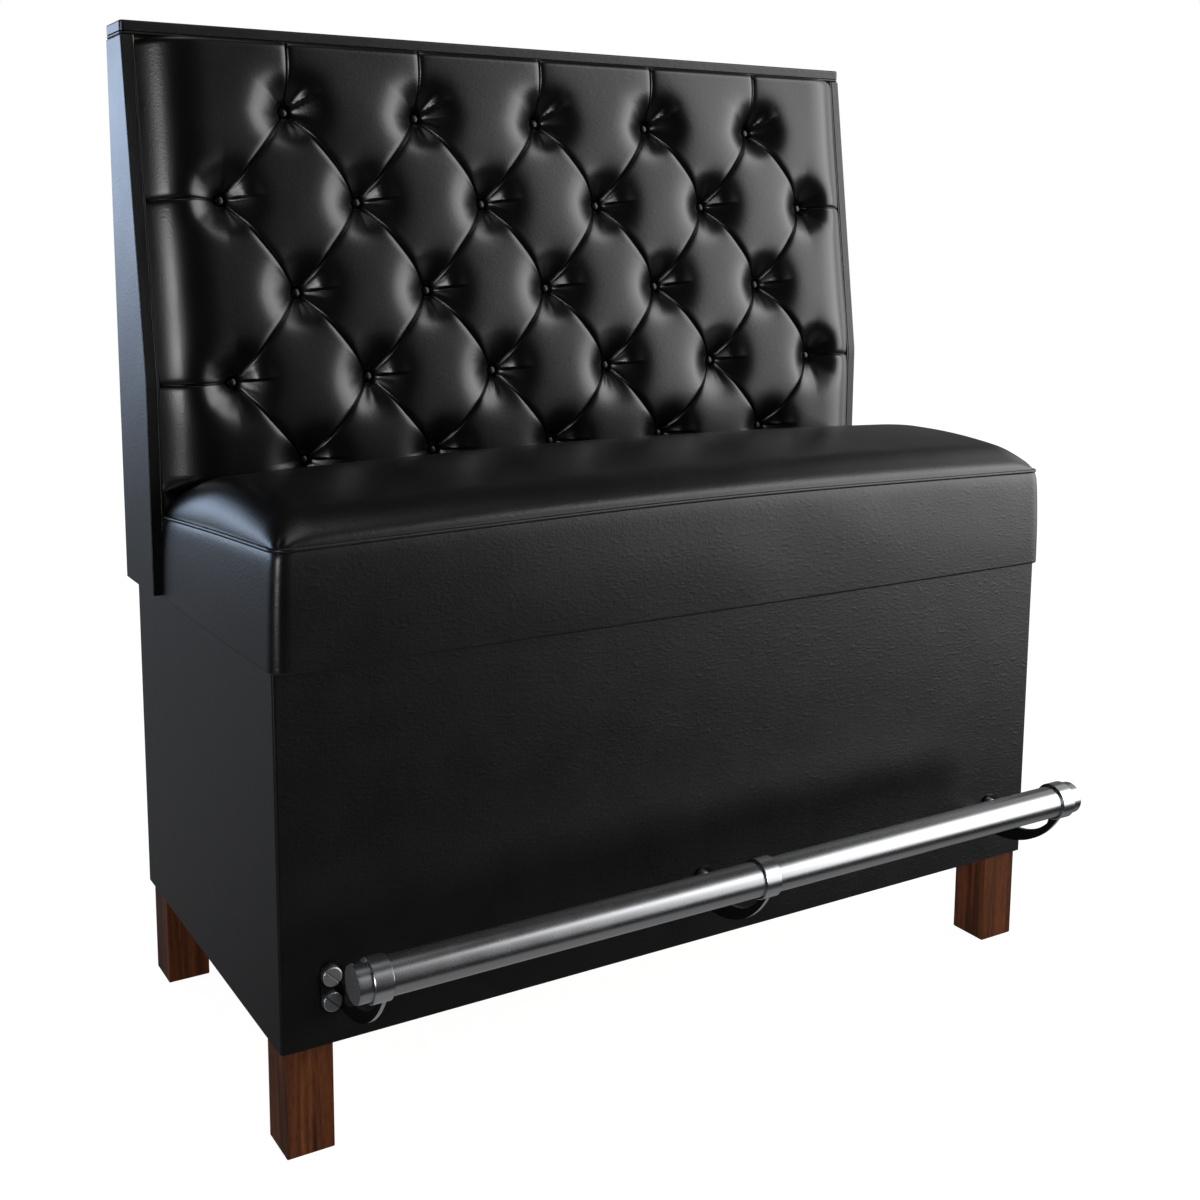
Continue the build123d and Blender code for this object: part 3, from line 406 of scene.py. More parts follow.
@dataclass(frozen=True)
class SteelBlackOnFlats:
    """Satin steel, black on the arms' flat faces and on the foot plate, and bare round the rail.

    The black goes where a face turns sideways or lies near the base, outside the collar. The eye gets a
    bright collar round the rail and a bright outer edge on each dark arm.
    """

    name: str
    rail: tuple[float, float]
    base_front: float
    colour: str = "b4b6b9"
    flats_colour: str = "0c0c0d"
    roughness: float = 0.24
    haze_mm: float = 33.3
    collar_radius: float = 27.0 * MM
    plate_reach: float = 14.3 * MM
    side_facing: float = 0.7

    def make(self) -> bpy.types.Material:
        """Build the steel and its paint mask.

        Returns:
            The material.
        """
        material, tree, shader = new_material(self.name)
        place = add_node(tree, "ShaderNodeTexCoord").outputs["Object"]
        parts = add_node(tree, "ShaderNodeSeparateXYZ", links={0: place})
        surface = add_node(tree, "ShaderNodeNewGeometry")
        facing = add_node(tree, "ShaderNodeSeparateXYZ", links={0: surface.outputs["True Normal"]})
        beside_rail = add_node(
            tree, "ShaderNodeCombineXYZ", links={1: parts.outputs["Y"], 2: parts.outputs["Z"]}
        )
        from_rail = add_node(
            tree, "ShaderNodeVectorMath", {"operation": "DISTANCE"}, {1: (0.0, *self.rail)},
            {0: beside_rail.outputs[0]},
        )
        outside = add_node(
            tree, "ShaderNodeMath", {"operation": "GREATER_THAN"}, {1: self.collar_radius},
            {0: from_rail.outputs["Value"]},
        )
        sideways = add_node(
            tree, "ShaderNodeMath", {"operation": "ABSOLUTE"}, links={0: facing.outputs["X"]}
        )
        flat = add_node(
            tree, "ShaderNodeMath", {"operation": "GREATER_THAN"}, {1: self.side_facing},
            {0: sideways.outputs[0]},
        )
        plate = add_node(
            tree, "ShaderNodeMath", {"operation": "GREATER_THAN"},
            {1: self.base_front - self.plate_reach}, {0: parts.outputs["Y"]},
        )
        either = add_node(
            tree, "ShaderNodeMath", {"operation": "MAXIMUM"},
            links={0: flat.outputs[0], 1: plate.outputs[0]},
        )
        # Black where a face turns sideways or lies near the base, outside the collar round the rail;
        # bare steel elsewhere.
        black_share = add_node(
            tree, "ShaderNodeMath", {"operation": "MULTIPLY"},
            links={0: outside.outputs[0], 1: either.outputs[0]},
        )
        tone = add_node(
            tree, "ShaderNodeMix", {"data_type": "RGBA"},
            {6: linear(self.colour), 7: linear(self.flats_colour)}, {0: black_share.outputs[0]},
        )
        metal = add_node(
            tree, "ShaderNodeMath", {"operation": "SUBTRACT"}, {0: 1.0}, {1: black_share.outputs[0]}
        )
        add_patches(tree, shader, place, self.haze_mm, self.roughness)
        tree.links.new(tone.outputs[2], shader.inputs["Base Color"])
        tree.links.new(metal.outputs[0], shader.inputs["Metallic"])
        return material


@dataclass(frozen=True)
class WaxedTwine:
    """Laid linen twine, waxed for upholstery. The eye gets a pale twist with a dull sheen.

    The twist is drawn longer than the real one, so that it shows.
    """

    name: str
    colour: str = "c9c1a8"
    roughness: float = 0.6
    twist_mm: float = 18.85
    twist_depth_mm: float = 0.3
    wave_rate: float = 10.0

    def make(self) -> bpy.types.Material:
        """Build the twine's node tree.

        Returns:
            The material.
        """
        material, tree, shader = new_material(self.name)
        place = add_node(tree, "ShaderNodeTexCoord").outputs["Object"]
        twist = add_node(
            tree, "ShaderNodeTexWave", {"bands_direction": "DIAGONAL"},
            {"Scale": 2 * math.pi / (self.wave_rate * self.twist_mm * MM)}, {"Vector": place},
        )
        bump = add_node(
            tree, "ShaderNodeBump", values={"Strength": 0.5, "Distance": self.twist_depth_mm * MM},
            links={"Height": twist.outputs["Fac"]},
        )
        tree.links.new(bump.outputs["Normal"], shader.inputs["Normal"])
        shader.inputs["Base Color"].default_value = linear(self.colour)
        shader.inputs["Roughness"].default_value = self.roughness
        return material


def rail_axis() -> tuple[float, float]:
    """The foot rail's axis, as y and z."""
    low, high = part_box("foot_rail_tube")
    return (low.y + high.y) / 2, (low.z + high.z) / 2


@dataclass
class Finishes:
    """All finishes of the booth, one material for each slot of the record."""

    materials: dict[Slot, bpy.types.Material] = field(default_factory=dict)

    def make(self) -> "Finishes":
        """Build every material.

        Returns:
            This object, with its materials filled in.
        """
        base_low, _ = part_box("base_vinyl_cover")
        recipes = {
            Slot.SEAT_VINYL: UpholsteryVinyl("black_grained_vinyl", roughness=0.33),
            Slot.TUFTED_VINYL: UpholsteryVinyl(
                "black_smooth_vinyl", colour="040405", worn_colour="060607", roughness=0.28,
                grain_depth_mm=0.08, crease_depth_mm=0.15, wave_depth_mm=0.3,
            ),
            Slot.PIPING_VINYL: UpholsteryVinyl(
                "black_piping_vinyl", roughness=0.36, grain_depth_mm=0.03, wave_mm=18.0,
                wave_depth_mm=0.2,
            ),
            Slot.WALNUT_LEG: StainedWalnut("stained_walnut"),
            Slot.FRAME_WOOD: FrameWood("raw_frame_wood"),
            Slot.RAIL_STEEL: BrushedMetal(
                "satin_stainless_tube", colour="a4a5a7", roughness=0.26, streak=(0.03, 1.0, 1.0)
            ),
            # The bracket steel is black on its sideways faces and foot plate, and bare steel on its
            # edges and round the rail.
            Slot.BRACKET_STEEL: SteelBlackOnFlats(
                "bracket_steel_black_on_flats", rail=rail_axis(), base_front=base_low.y
            ),
            Slot.BOLT_STEEL: BrushedMetal("satin_steel_bolt", colour="b6b8bb", roughness=0.42),
            Slot.ZINC_HARDWARE: BrushedMetal("zinc_plated_steel", colour="b4b6b8", roughness=0.35),
            Slot.TIE_TWINE: WaxedTwine("waxed_linen_twine"),
        }
        for slot, recipe in recipes.items():
            self.materials[slot] = recipe.make()
        return self

    def dress_nodes(self) -> None:
        """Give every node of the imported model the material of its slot."""
        slots = {part["node"]: Slot(part["material_slot"]) for part in frame["record"]["subparts"]}
        for name, piece in frame["nodes"].items():
            piece.data.materials.clear()
            piece.data.materials.append(self.materials[slots[name]])
        LOG.info("dressed %d nodes", len(slots))


@dataclass(frozen=True)
class Wobble:
    """A smooth repeatable unevenness over a plane, from waves of several directions and pitches.

    The pitches are shares of the wobble's size, and the waves' sum is divided by the divisor.
    """

    height: float
    size: float
    seed: int
    waves: int = 7
    pitches: tuple[float, float] = (0.7, 1.6)
    divisor: float = 4.0

    def at(self, x: np.ndarray, y: np.ndarray) -> np.ndarray:
        """The unevenness at places on the plane.

        Args:
            x: places along the first direction, in metres.
            y: places along the second direction, in metres.

        Returns:
            Heights, mostly within the wobble's own height up and down.
        """
        rng = np.random.default_rng(self.seed)
        total = np.zeros_like(x)
        for _ in range(self.waves):
            angle, phase = rng.uniform(0, 2 * math.pi, 2)
            pitch = self.size * rng.uniform(*self.pitches)
            total += np.sin((x * math.cos(angle) + y * math.sin(angle)) * 2 * math.pi / pitch + phase)
        return total / self.divisor * self.height


def crowded_shares(count: int, strength: float) -> np.ndarray:
    """Shares of a way, closer together towards its two ends.

    Args:
        count: how many steps the way has.
        strength: how much closer the end steps are, from 0 to 1.

    Returns:
        Shares from 0 to 1.
    """
    even = np.linspace(0, 1, count + 1)
    return even - strength * np.sin(2 * math.pi * even) / (2 * math.pi)


def quarter_round(distance: np.ndarray, reach: float) -> np.ndarray:
    """How much of its full height a rounded edge has at a distance in from that edge.

    Args:
        distance: distances from the edge.
        reach: where the rounding ends.

    Returns:
        Shares from 0 at the edge to 1.
    """
    left = 1 - np.clip(distance / reach, 0, 1)
    return np.sqrt(1 - left**2)


def make_piece(
    name: str,
    points: np.ndarray,
    faces: Iterable[Sequence[int]],
    finishes: Finishes,
    slot: Slot,
    replaced: str,
) -> bpy.types.Object:
    """Make a smooth-shaded mesh piece that rides on the booth.

    Args:
        name: the piece's name.
        points: corner positions, one row each.
        faces: corner numbers of each face.
        finishes: the booth's finishes.
        slot: the record's slot, which picks the finish.
        replaced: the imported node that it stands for.

    Returns:
        The new object.
    """
    mesh = bpy.data.meshes.new(name)
    mesh.from_pydata([tuple(p) for p in points], [], [tuple(f) for f in faces])
    mesh.update()
    mesh.shade_smooth()
    piece = bpy.data.objects.new(name, mesh)
    bpy.context.scene.collection.objects.link(piece)
    piece.data.materials.append(finishes.materials[slot])
    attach(piece, BODY)
    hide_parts(replaced)
    LOG.info("%s: %d corners, %d faces", name, len(mesh.vertices), len(mesh.polygons))
    return piece


@dataclass
class BackLine:
    """The line of the wings' front edge, seen from the side: upright, then leaning back."""

    low_y: float
    top_y: float
    knee_z: float
    top_z: float
    blend: float = 0.06

    @property
    def lean(self) -> float:
        """The upper part's lean, in radians."""
        return math.atan2(self.top_y - self.low_y, self.top_z - self.knee_z)

    def y_at(self, z: np.ndarray) -> np.ndarray:
        """The edge's place from front to rear, with a soft turn at the knee.

        Args:
            z: heights.

        Returns:
            The y at each height.
        """
        above = z - self.knee_z
        turning = (above + self.blend) ** 2 / (4 * self.blend)
        rise = np.where(np.abs(above) < self.blend, turning, np.clip(above, 0, None))
        return self.low_y + rise * math.tan(self.lean)

    def normals(self, z: np.ndarray) -> np.ndarray:
        """Unit directions out of the back, with a soft turn at the knee.

        Args:
            z: heights.

        Returns:
            One row of x, y and z for each height.
        """
        share = np.clip((z - self.knee_z) / (2 * self.blend) + 0.5, 0, 1)
        angle = share * self.lean
        return np.stack([np.zeros_like(z), -np.cos(angle), np.sin(angle)], axis=-1)

    def lift(self, x: np.ndarray, z: np.ndarray, height: np.ndarray) -> np.ndarray:
        """Places over the back.

        Args:
            x: places along the bench.
            z: heights of the feet of the normals.
            height: how far each place stands out of the edge's line.

        Returns:
            One row of x, y and z for each place.
        """
        feet = np.stack([x, self.y_at(z), z], axis=-1)
        return feet + self.normals(z) * height[..., None]


@dataclass
class Seat:
    """The crowned and welted seat cushion over its boxed band.

    Sizes are in metres. The heights of the welt and the crown are over the base's top.
    """

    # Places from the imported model.
    base_top: float
    front_y: float
    rear_y: float
    bottom_half: float
    seam_half: float
    bottom_front: float
    seam_front: float
    # The welt, which rises to the middle of the front and falls along the sides to the rear.
    corner_seam: float = 0.141
    front_seam_rise: float = 0.012
    middle_seam: float = 0.128
    rear_seam: float = 0.109
    # The crown, highest near the middle of the seat.
    crown_top: float = 0.198
    crown_end_fall: float = 0.012
    crown_front: float = 0.180
    crown_rear: float = 0.1535
    peak_setback: float = 0.205
    # The rounded edges of the top, and how its front and sides bow out between the corners.
    side_roll: float = 0.052
    front_roll: float = 0.058
    corner_radius: float = 0.017
    front_bow: float = 0.0044
    bow_depth: float = 0.2
    side_bow: float = 0.0036
    # The band, drawn in at the welt, a little plump below it and turned in at the hem.
    seam_tuck: float = 0.0034
    tuck_reach: float = 0.006
    band_plump: float = 0.0012
    hem: float = 0.0020
    front_band_depth: float = 0.05
    side_band_start: float = 0.03
    side_band_fade: float = 0.02
    # The filling's unevenness under the vinyl.
    ripple: Wobble = Wobble(0.0004, 0.16, 21)
    settling: tuple[Wobble, ...] = (Wobble(0.0006, 0.23, 11), Wobble(0.00012, 0.07, 12))
    # The grid, and the angle from which an edge is sharp.
    roll_steps: int = 16
    cell: float = 0.008
    band_rows: int = 34
    band_crowding: float = 0.985
    sharp_degrees: float = 55.0
    fill: float = 0.9

    def crown(self, x: np.ndarray, y: np.ndarray) -> np.ndarray:
        """The height of the crown before its edges are rounded.

        Args:
            x: places along the bench.
            y: places from front to rear.

        Returns:
            Heights above the floor.
        """
        peak_y = self.front_y + self.peak_setback
        ahead = np.clip((peak_y - y) / (peak_y - self.seam_front), 0, 1)
        behind = np.clip((y - peak_y) / (self.rear_y - peak_y), 0, 1)
        fall = (self.crown_top - self.crown_front) * ahead**2
        fall = fall + (self.crown_top - self.crown_rear) * behind**2
        fall = fall + self.crown_end_fall * (x / self.seam_half) ** 2
        return self.base_top + self.crown_top - fall

    def front_seam(self, x: np.ndarray) -> np.ndarray:
        """The welt's height above the floor along the front."""
        rise = self.front_seam_rise * (1 - (x / self.seam_half) ** 2)
        return self.base_top + self.corner_seam + rise

    def side_seam(self, y: np.ndarray) -> np.ndarray:
        """The welt's height along a side, falling to the rear.

        Args:
            y: places from front to rear.

        Returns:
            Heights above the floor.
        """
        middle_y = (self.seam_front + self.rear_y) / 2
        places = [self.seam_front, middle_y, self.rear_y]
        seams = [self.corner_seam, self.middle_seam, self.rear_seam]
        return self.base_top + np.interp(y, places, seams)

    def spread(self, reach: float, length: float, both: bool) -> np.ndarray:
        """Grid places from an edge inwards, close together where the edge is rounded.

        Args:
            reach: the rounded stretch's length.
            length: the whole length.
            both: whether the far end is rounded too.

        Returns:
            Places from 0 to the length.
        """
        turn = np.linspace(0, math.pi / 2, self.roll_steps + 1)
        edge = reach * (1 - np.cos(turn))
        plain_end = length - reach if both else length
        steps = max(2, int((plain_end - reach) / self.cell))
        middle = np.linspace(reach, plain_end, steps + 1)[1:]
        if both:
            return np.concatenate([edge, middle[:-1], length - edge[::-1]])
        return np.concatenate([edge, middle])

    def round_corner(self, x: np.ndarray, inward: np.ndarray) -> tuple[np.ndarray, np.ndarray]:
        """Turn the grid's square front corners into round ones.

        Args:
            x: places along the bench.
            inward: distances behind the front edge.

        Returns:
            The moved places and distances.
        """
        radius = self.corner_radius
        from_side = self.seam_half - np.abs(x)
        p = np.clip(radius - from_side, 0, None)
        q = np.clip(radius - inward, 0, None)
        length = np.hypot(p, q)
        scale = np.where(length > 0, np.maximum(p, q) / np.maximum(length, 1e-9), 1)
        new_x = np.where((p > 0) & (q > 0), np.sign(x) * (self.seam_half - radius + p * scale), x)
        new_inward = np.where((p > 0) & (q > 0), radius - q * scale, inward)
        return new_x, new_inward

    def top_heights(self, x: np.ndarray, inward: np.ndarray) -> np.ndarray:
        """Heights of the upholstered top.

        Args:
            x: places along the bench, before the corners are rounded.
            inward: distances behind the front edge.

        Returns:
            Heights above the floor.
        """
        y = self.seam_front + inward
        from_side = self.seam_half - np.abs(x)
        share = from_side / np.maximum(from_side + inward, 1e-6)
        seam = share * self.front_seam(x) + (1 - share) * self.side_seam(y)
        rounded = quarter_round(from_side, self.side_roll) * quarter_round(inward, self.front_roll)
        settle = sum(wobble.at(x, y) for wobble in self.settling)
        return seam + (self.crown(x, y) + settle - seam) * rounded

    def top_places(self) -> np.ndarray:
        """A grid over the upholstered top, which bows out between the corners.

        Returns:
            Rows from the front to the rear, each with its places from left to right.
        """
        depth = self.rear_y - self.seam_front
        across = self.spread(self.side_roll, 2 * self.seam_half, True) - self.seam_half
        grid_x, grid_in = np.meshgrid(across, self.spread(self.front_roll, depth, False))
        heights = self.top_heights(grid_x, grid_in)
        x, inward = self.round_corner(grid_x, grid_in)
        front = self.front_bow * (1 - (x / self.seam_half) ** 2)
        fade = 1 - np.clip(inward / self.bow_depth, 0, 1)
        side = self.side_bow * (1 - (2 * inward / depth - 1) ** 2) * (x / self.seam_half)
        return np.stack([x + side, self.seam_front + inward - front * fade, heights], axis=-1)

    def build(self, finishes: Finishes) -> bpy.types.Object:
        """Make the cushion: a rounded top, a band below the welt, a flat underside and a rear.

        Args:
            finishes: the booth's finishes.

        Returns:
            The cushion.
        """
        top = self.top_places()
        rows, columns = top.shape[:2]
        points = [top.reshape(-1, 3)]
        faces = [
            (r * columns + c, r * columns + c + 1, (r + 1) * columns + c + 1, (r + 1) * columns + c)
            for r in range(rows - 1)
            for c in range(columns - 1)
        ]
        rim = [r * columns for r in range(rows - 1, 0, -1)]
        rim += list(range(columns))
        rim += [r * columns + columns - 1 for r in range(1, rows)]
        seam_line = points[0][rim]
        above, start = rim, rows * columns
        left_end, right_end = [rim[0]], [rim[-1]]
        for share in crowded_shares(self.band_rows, self.band_crowding)[1:]:
            points.append(self.band_line(seam_line, float(share)))
            below = list(range(start, start + len(rim)))
            faces += [
                (above[i], below[i], below[i + 1], above[i + 1]) for i in range(len(rim) - 1)
            ]
            left_end.append(below[0])
            right_end.append(below[-1])
            above, start = below, start + len(rim)
        faces.append(tuple(above))
        rear_edge = list(range(rows * columns - 2, (rows - 1) * columns, -1))
        faces.append(tuple(left_end + right_end[::-1] + rear_edge))
        piece = make_piece(
            "seat_cushion_cover", np.concatenate(points), faces, finishes, Slot.SEAT_VINYL,
            "seat_cushion",
        )
        piece.data.set_sharp_from_angle(angle=math.radians(self.sharp_degrees))
        return piece

    def band_line(self, seam_line: np.ndarray, share: float) -> np.ndarray:
        """One line round the band, between the welt and the box.

        Args:
            seam_line: places along the welt.
            share: 0 at the welt and 1 at the box.

        Returns:
            Places along the line.
        """
        line = seam_line.copy()
        height = seam_line[:, 2]
        line[:, 2] = height + (self.base_top - height) * share
        ahead = np.clip(1 - (seam_line[:, 1] - self.seam_front) / self.front_band_depth, 0, 1)
        past_start = np.abs(seam_line[:, 0]) - self.seam_half + self.side_band_start
        beside = np.clip(past_start / self.side_band_fade, 0, 1)
        from_welt = (height - self.base_top) * share
        from_hem = (height - self.base_top) * (1 - share)
        bulge = self.seam_tuck * (1 - math.exp(-float(from_welt.mean()) / self.tuck_reach))
        plump = self.band_plump * math.sin(math.pi * share)
        turn = self.hem * (1 - quarter_round(from_hem, self.hem))
        spread_x = (self.bottom_half - self.seam_half - self.seam_tuck) * share
        spread_y = (self.seam_front - self.bottom_front - self.seam_tuck) * share
        ripple = self.ripple.at(line[:, 0] + line[:, 1], line[:, 2]) * math.sin(math.pi * share)
        line[:, 0] += np.sign(line[:, 0]) * beside * (spread_x + bulge + plump - turn)
        line[:, 1] -= ahead * (spread_y + bulge + plump - turn + ripple)
        return line


@dataclass(frozen=True)
class Pleat:
    """One pleat between two buttons, or from a button to an edge."""

    start: tuple[float, float]
    end: tuple[float, float]
    ends_at_button: bool = False

    @property
    def length(self) -> float:
        """The pleat's length over the back."""
        return math.hypot(self.end[0] - self.start[0], self.end[1] - self.start[1])

    def nearest(self, x: np.ndarray, z: np.ndarray) -> tuple[np.ndarray, np.ndarray, np.ndarray]:
        """The nearest place on the pleat to each point.

        Args:
            x: places along the bench.
            z: heights.

        Returns:
            The distance along the pleat from its nearest button, and the offset from the pleat as
            two parts, along the bench and up.
        """
        run_x, run_z = self.end[0] - self.start[0], self.end[1] - self.start[1]
        share = ((x - self.start[0]) * run_x + (z - self.start[1]) * run_z) / self.length**2
        share = np.clip(share, 0, 1)
        from_button = np.minimum(share, 1 - share) if self.ends_at_button else share
        off_x = x - self.start[0] - share * run_x
        off_z = z - self.start[1] - share * run_z
        return from_button * self.length, off_x, off_z


@dataclass
class TuftedBack:
    """The deep-buttoned back cushion, its pleats and its covered buttons.

    Sizes are in metres, and heights of the cushion stand out of the wings' front edge.
    """

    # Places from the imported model.
    line: BackLine
    seat: Seat
    base_top: float
    half_width: float
    top_z: float
    bottom_z: float
    spacing: float
    # The rows of buttons, from the top, as shares of the wings' height over the base.
    row_shares: tuple[float, ...] = (0.8715, 0.7086, 0.5411, 0.3817, 0.2313)
    even_count: int = 6
    odd_count: int = 5
    # The puffs' crest, how they rise from the pleats, and how sharply two rises meet.
    crest: float = 0.0560
    plumpness: Wobble = Wobble(0.03, 0.30, 3)
    puff_reach: float = 0.110
    puff_power: float = 2.0
    corner_sharpness: float = 14.0
    # The pleats' height away from the buttons, and how they rise from a button.
    fold: float = 0.0385
    fold_reach: float = 0.079
    fold_power: float = 2.6
    # The rounded brink beside a pleat, and the narrow crease in it with a lip on each side.
    shoulder: float = 0.0045
    shoulder_reach: float = 0.012
    shoulder_power: float = 2.4
    crease: float = 0.0030
    crease_reach: float = 0.0028
    lip: float = 0.0007
    lip_place: float = 0.0042
    lip_width: float = 0.0016
    taper: float = 0.014
    # The fall towards the wings and the rounded top edge.
    side_drop: float = 0.0440
    side_reach: float = 0.090
    side_power: float = 2.8
    top_roll: float = 0.011
    # The hidden rear, sunk behind the wings' edge, and the underside behind the seat.
    sunk: float = 0.0218
    seat_gap: float = 0.0012
    rear_gap: float = 0.0008
    down_shares: tuple[float, ...] = (0.4, 1.0)
    # The buttons: a profile of radius and rise, as shares, and the flat that each lies in.
    button_radius: float = 0.0072
    button_top: float = 0.0105
    button_thickness: float = 0.00506
    button_profile: tuple[tuple[float, float], ...] = (
        (0.3, 0.97), (0.6, 0.82), (0.85, 0.5), (0.98, 0.15), (1.0, -0.25), (0.9, -0.9)
    )
    button_sides: int = 24
    button_seat: float = 0.0030
    button_seat_share: float = 1.15
    # Fine wrinkles round each button: how many, how strong and how far turned from the last.
    wrinkle: float = 0.0004
    wrinkle_radius: float = 0.024
    wrinkle_width: float = 0.013
    wrinkle_waves: tuple[tuple[int, float, float], ...] = ((9, 1.0, 1.7), (14, 0.6, 2.9))
    wrinkle_above: float = 0.35
    # The short folds to the right of the buttons. Directions are radians up from level.
    fold_rise: float = 0.0070
    fold_length: float = 0.0285
    fold_tilt: float = 0.06
    fold_open: float = 0.95
    fold_edge: float = 0.0014
    top_fold_turns: tuple[float, ...] = (0.49, 0.66, 0.93)
    top_fold_slopes: tuple[float, ...] = (0.235, 0.185, 0.0)
    # The grid, crowded towards the buttons, the pleats and the wings.
    steps: int = 40
    crowding: float = 0.45
    outer_steps: int = 13
    wing_steps: int = 20
    wing_strip: float = 0.028
    top_steps: int = 26
    top_roll_steps: int = 10
    below_lowest: float = 0.008
    below_steps: int = 4
    under_steps: int = 8
    pull_in: float = 0.020
    pull_share: float = 0.75
    closest: float = 0.25
    # How far the upright pleats run on past the top edge and below the lowest buttons.
    past_top: float = 0.02
    past_lowest: float = 0.12
    fill: float = 0.85

    def row_heights(self) -> list[float]:
        """The rows' heights above the floor, from the top."""
        height = self.line.top_z - self.base_top
        return [self.base_top + height * share for share in self.row_shares]

    def buttons(self) -> list[tuple[int, float, float]]:
        """Each button.

        Returns:
            Row number from 1, x and z of every button.
        """
        found = []
        for number, z in enumerate(self.row_heights(), start=1):
            count = self.even_count if number % 2 == 0 else self.odd_count
            for i in range(count):
                found.append((number, (i - (count - 1) / 2) * self.spacing, z))
        return found

    def is_outer(self, x: float) -> bool:
        """Whether a button at this x is the last of its row beside a wing."""
        return abs(x) > self.spacing * ((self.even_count - 1) / 2 - 0.25)

    def pleats(self) -> list[Pleat]:
        """Every pleat: between neighbouring rows, up, down and level to the wings.

        Returns:
            The pleats.
        """
        found = []
        places = self.buttons()
        for row, x, z in places:
            for other_row, other_x, other_z in places:
                if other_row == row + 1 and abs(other_x - x) < self.spacing:
                    found.append(Pleat((x, z), (other_x, other_z), ends_at_button=True))
            if row == 1:
                found.append(Pleat((x, z), (x, self.top_z + self.past_top)))
            if row == len(self.row_shares):
                found.append(Pleat((x, z), (x, z - self.past_lowest)))
            if self.is_outer(x):
                found.append(Pleat((x, z), (math.copysign(self.half_width, x), z)))
        return found

    def columns(self) -> np.ndarray:
        """Grid places along the bench, with lines through every button.

        Returns:
            Places from left to right.
        """
        half_step = self.spacing / 2
        step_shares = crowded_shares(self.steps, self.crowding)[:-1]
        places = [k * half_step + step_shares * half_step for k in range(self.even_count - 1)]
        outer_start = (self.even_count - 1) * half_step
        outer = self.half_width - outer_start
        turn = np.linspace(0, math.pi / 2, self.wing_steps + 1)
        places.append(outer_start + np.linspace(0, outer - self.wing_strip, self.outer_steps + 1)[:-1])
        places.append(outer_start + (outer - self.wing_strip * (1 - np.sin(turn))))
        right = np.concatenate(places)
        return np.concatenate([-right[:0:-1], right])

    def rows(self) -> tuple[np.ndarray, int]:
        """Grid places up the back, from the top down to the lowest row of buttons and past it.

        Returns:
            Heights, and the number of the line that runs through the top row of buttons. Each
            further row of buttons comes the same number of steps later.
        """
        heights = self.row_heights()
        turn = np.linspace(0, math.pi / 2, self.top_roll_steps + 1)
        top_part = self.top_z - self.top_roll * (1 - np.cos(turn))
        above = np.linspace(self.top_z - self.top_roll, heights[0], self.top_steps + 1)[1:-1]
        step_shares = crowded_shares(self.steps, self.crowding)[:-1]
        parts = [top_part, above]
        for upper, lower in zip(heights[:-1], heights[1:]):
            parts.append(upper + (lower - upper) * step_shares)
        parts.append(np.linspace(heights[-1], heights[-1] - self.below_lowest, self.below_steps + 1))
        return np.concatenate(parts), len(top_part) + len(above)

    def heights_over(self, x: np.ndarray, z: np.ndarray) -> np.ndarray:
        """How far the cushion stands out of the wings' front edge.

        Args:
            x: places along the bench.
            z: heights above the floor.

        Returns:
            Heights out of the back, in metres.
        """
        plump = self.crest * (1 + self.plumpness.at(x, z))
        total = np.zeros_like(x)
        crease = np.full_like(x, -self.lip)
        for pleat in self.pleats():
            from_button, off_x, off_z = pleat.nearest(x, z)
            distance = np.hypot(off_x, off_z)
            arc = 1 - (1 - np.clip(from_button / self.fold_reach, 0, 1)) ** self.fold_power
            grown = np.clip((from_button + distance) / self.taper, 0, 1)
            shoulder = self.shoulder * grown
            fold = self.fold * arc + shoulder
            puffed = 1 - (1 - np.clip(distance / self.puff_reach, 0, 1)) ** self.puff_power
            dip = (1 - np.clip(distance / self.shoulder_reach, 0, 1)) ** self.shoulder_power
            height = fold + (plump - fold) * puffed - shoulder * dip
            total += np.maximum(height, 1e-5) ** -self.corner_sharpness
            narrow = 1 - quarter_round(distance, self.crease_reach)
            raised = self.lip * np.exp(-(((distance - self.lip_place) / self.lip_width) ** 2))
            crease = np.maximum(crease, (self.crease * narrow - raised) * grown)
        height = total ** (-1 / self.corner_sharpness) - crease
        for number, (row, button_x, button_z) in enumerate(self.buttons()):
            radius = np.hypot(x - button_x, z - button_z)
            angle = np.arctan2(z - button_z, x - button_x)
            height = height + self.wrinkles(number, angle, radius)
            if button_x < 0 or not self.is_outer(button_x):
                height = height + self.side_fold(row, angle, radius)
            seat_radius = self.button_radius * self.button_seat_share
            height = np.where(radius < seat_radius, -self.button_seat, height)
        from_side = self.half_width - np.abs(x)
        near_side = 1 - np.clip(from_side / self.side_reach, 0, 1)
        height = height - self.side_drop * near_side**self.side_power
        from_top = self.top_z - z
        return height - self.top_roll * (1 - quarter_round(from_top, self.top_roll))

    def wrinkles(self, number: int, direction: np.ndarray, radius: np.ndarray) -> np.ndarray:
        """Fine wrinkles in a ring round a button, stronger below it.

        Args:
            number: the button's number, which sets where its wrinkles lie.
            direction: directions from the button, up from level.
            radius: distances from the button's middle.

        Returns:
            Added heights.
        """
        ring = np.exp(-(((radius - self.wrinkle_radius) / self.wrinkle_width) ** 2))
        pull = sum(
            share * np.cos(count * direction + number * turn)
            for count, share, turn in self.wrinkle_waves
        )
        below = np.clip(-np.sin(direction), 0, 1)
        return self.wrinkle * ring * pull * (self.wrinkle_above + (1 - self.wrinkle_above) * below)

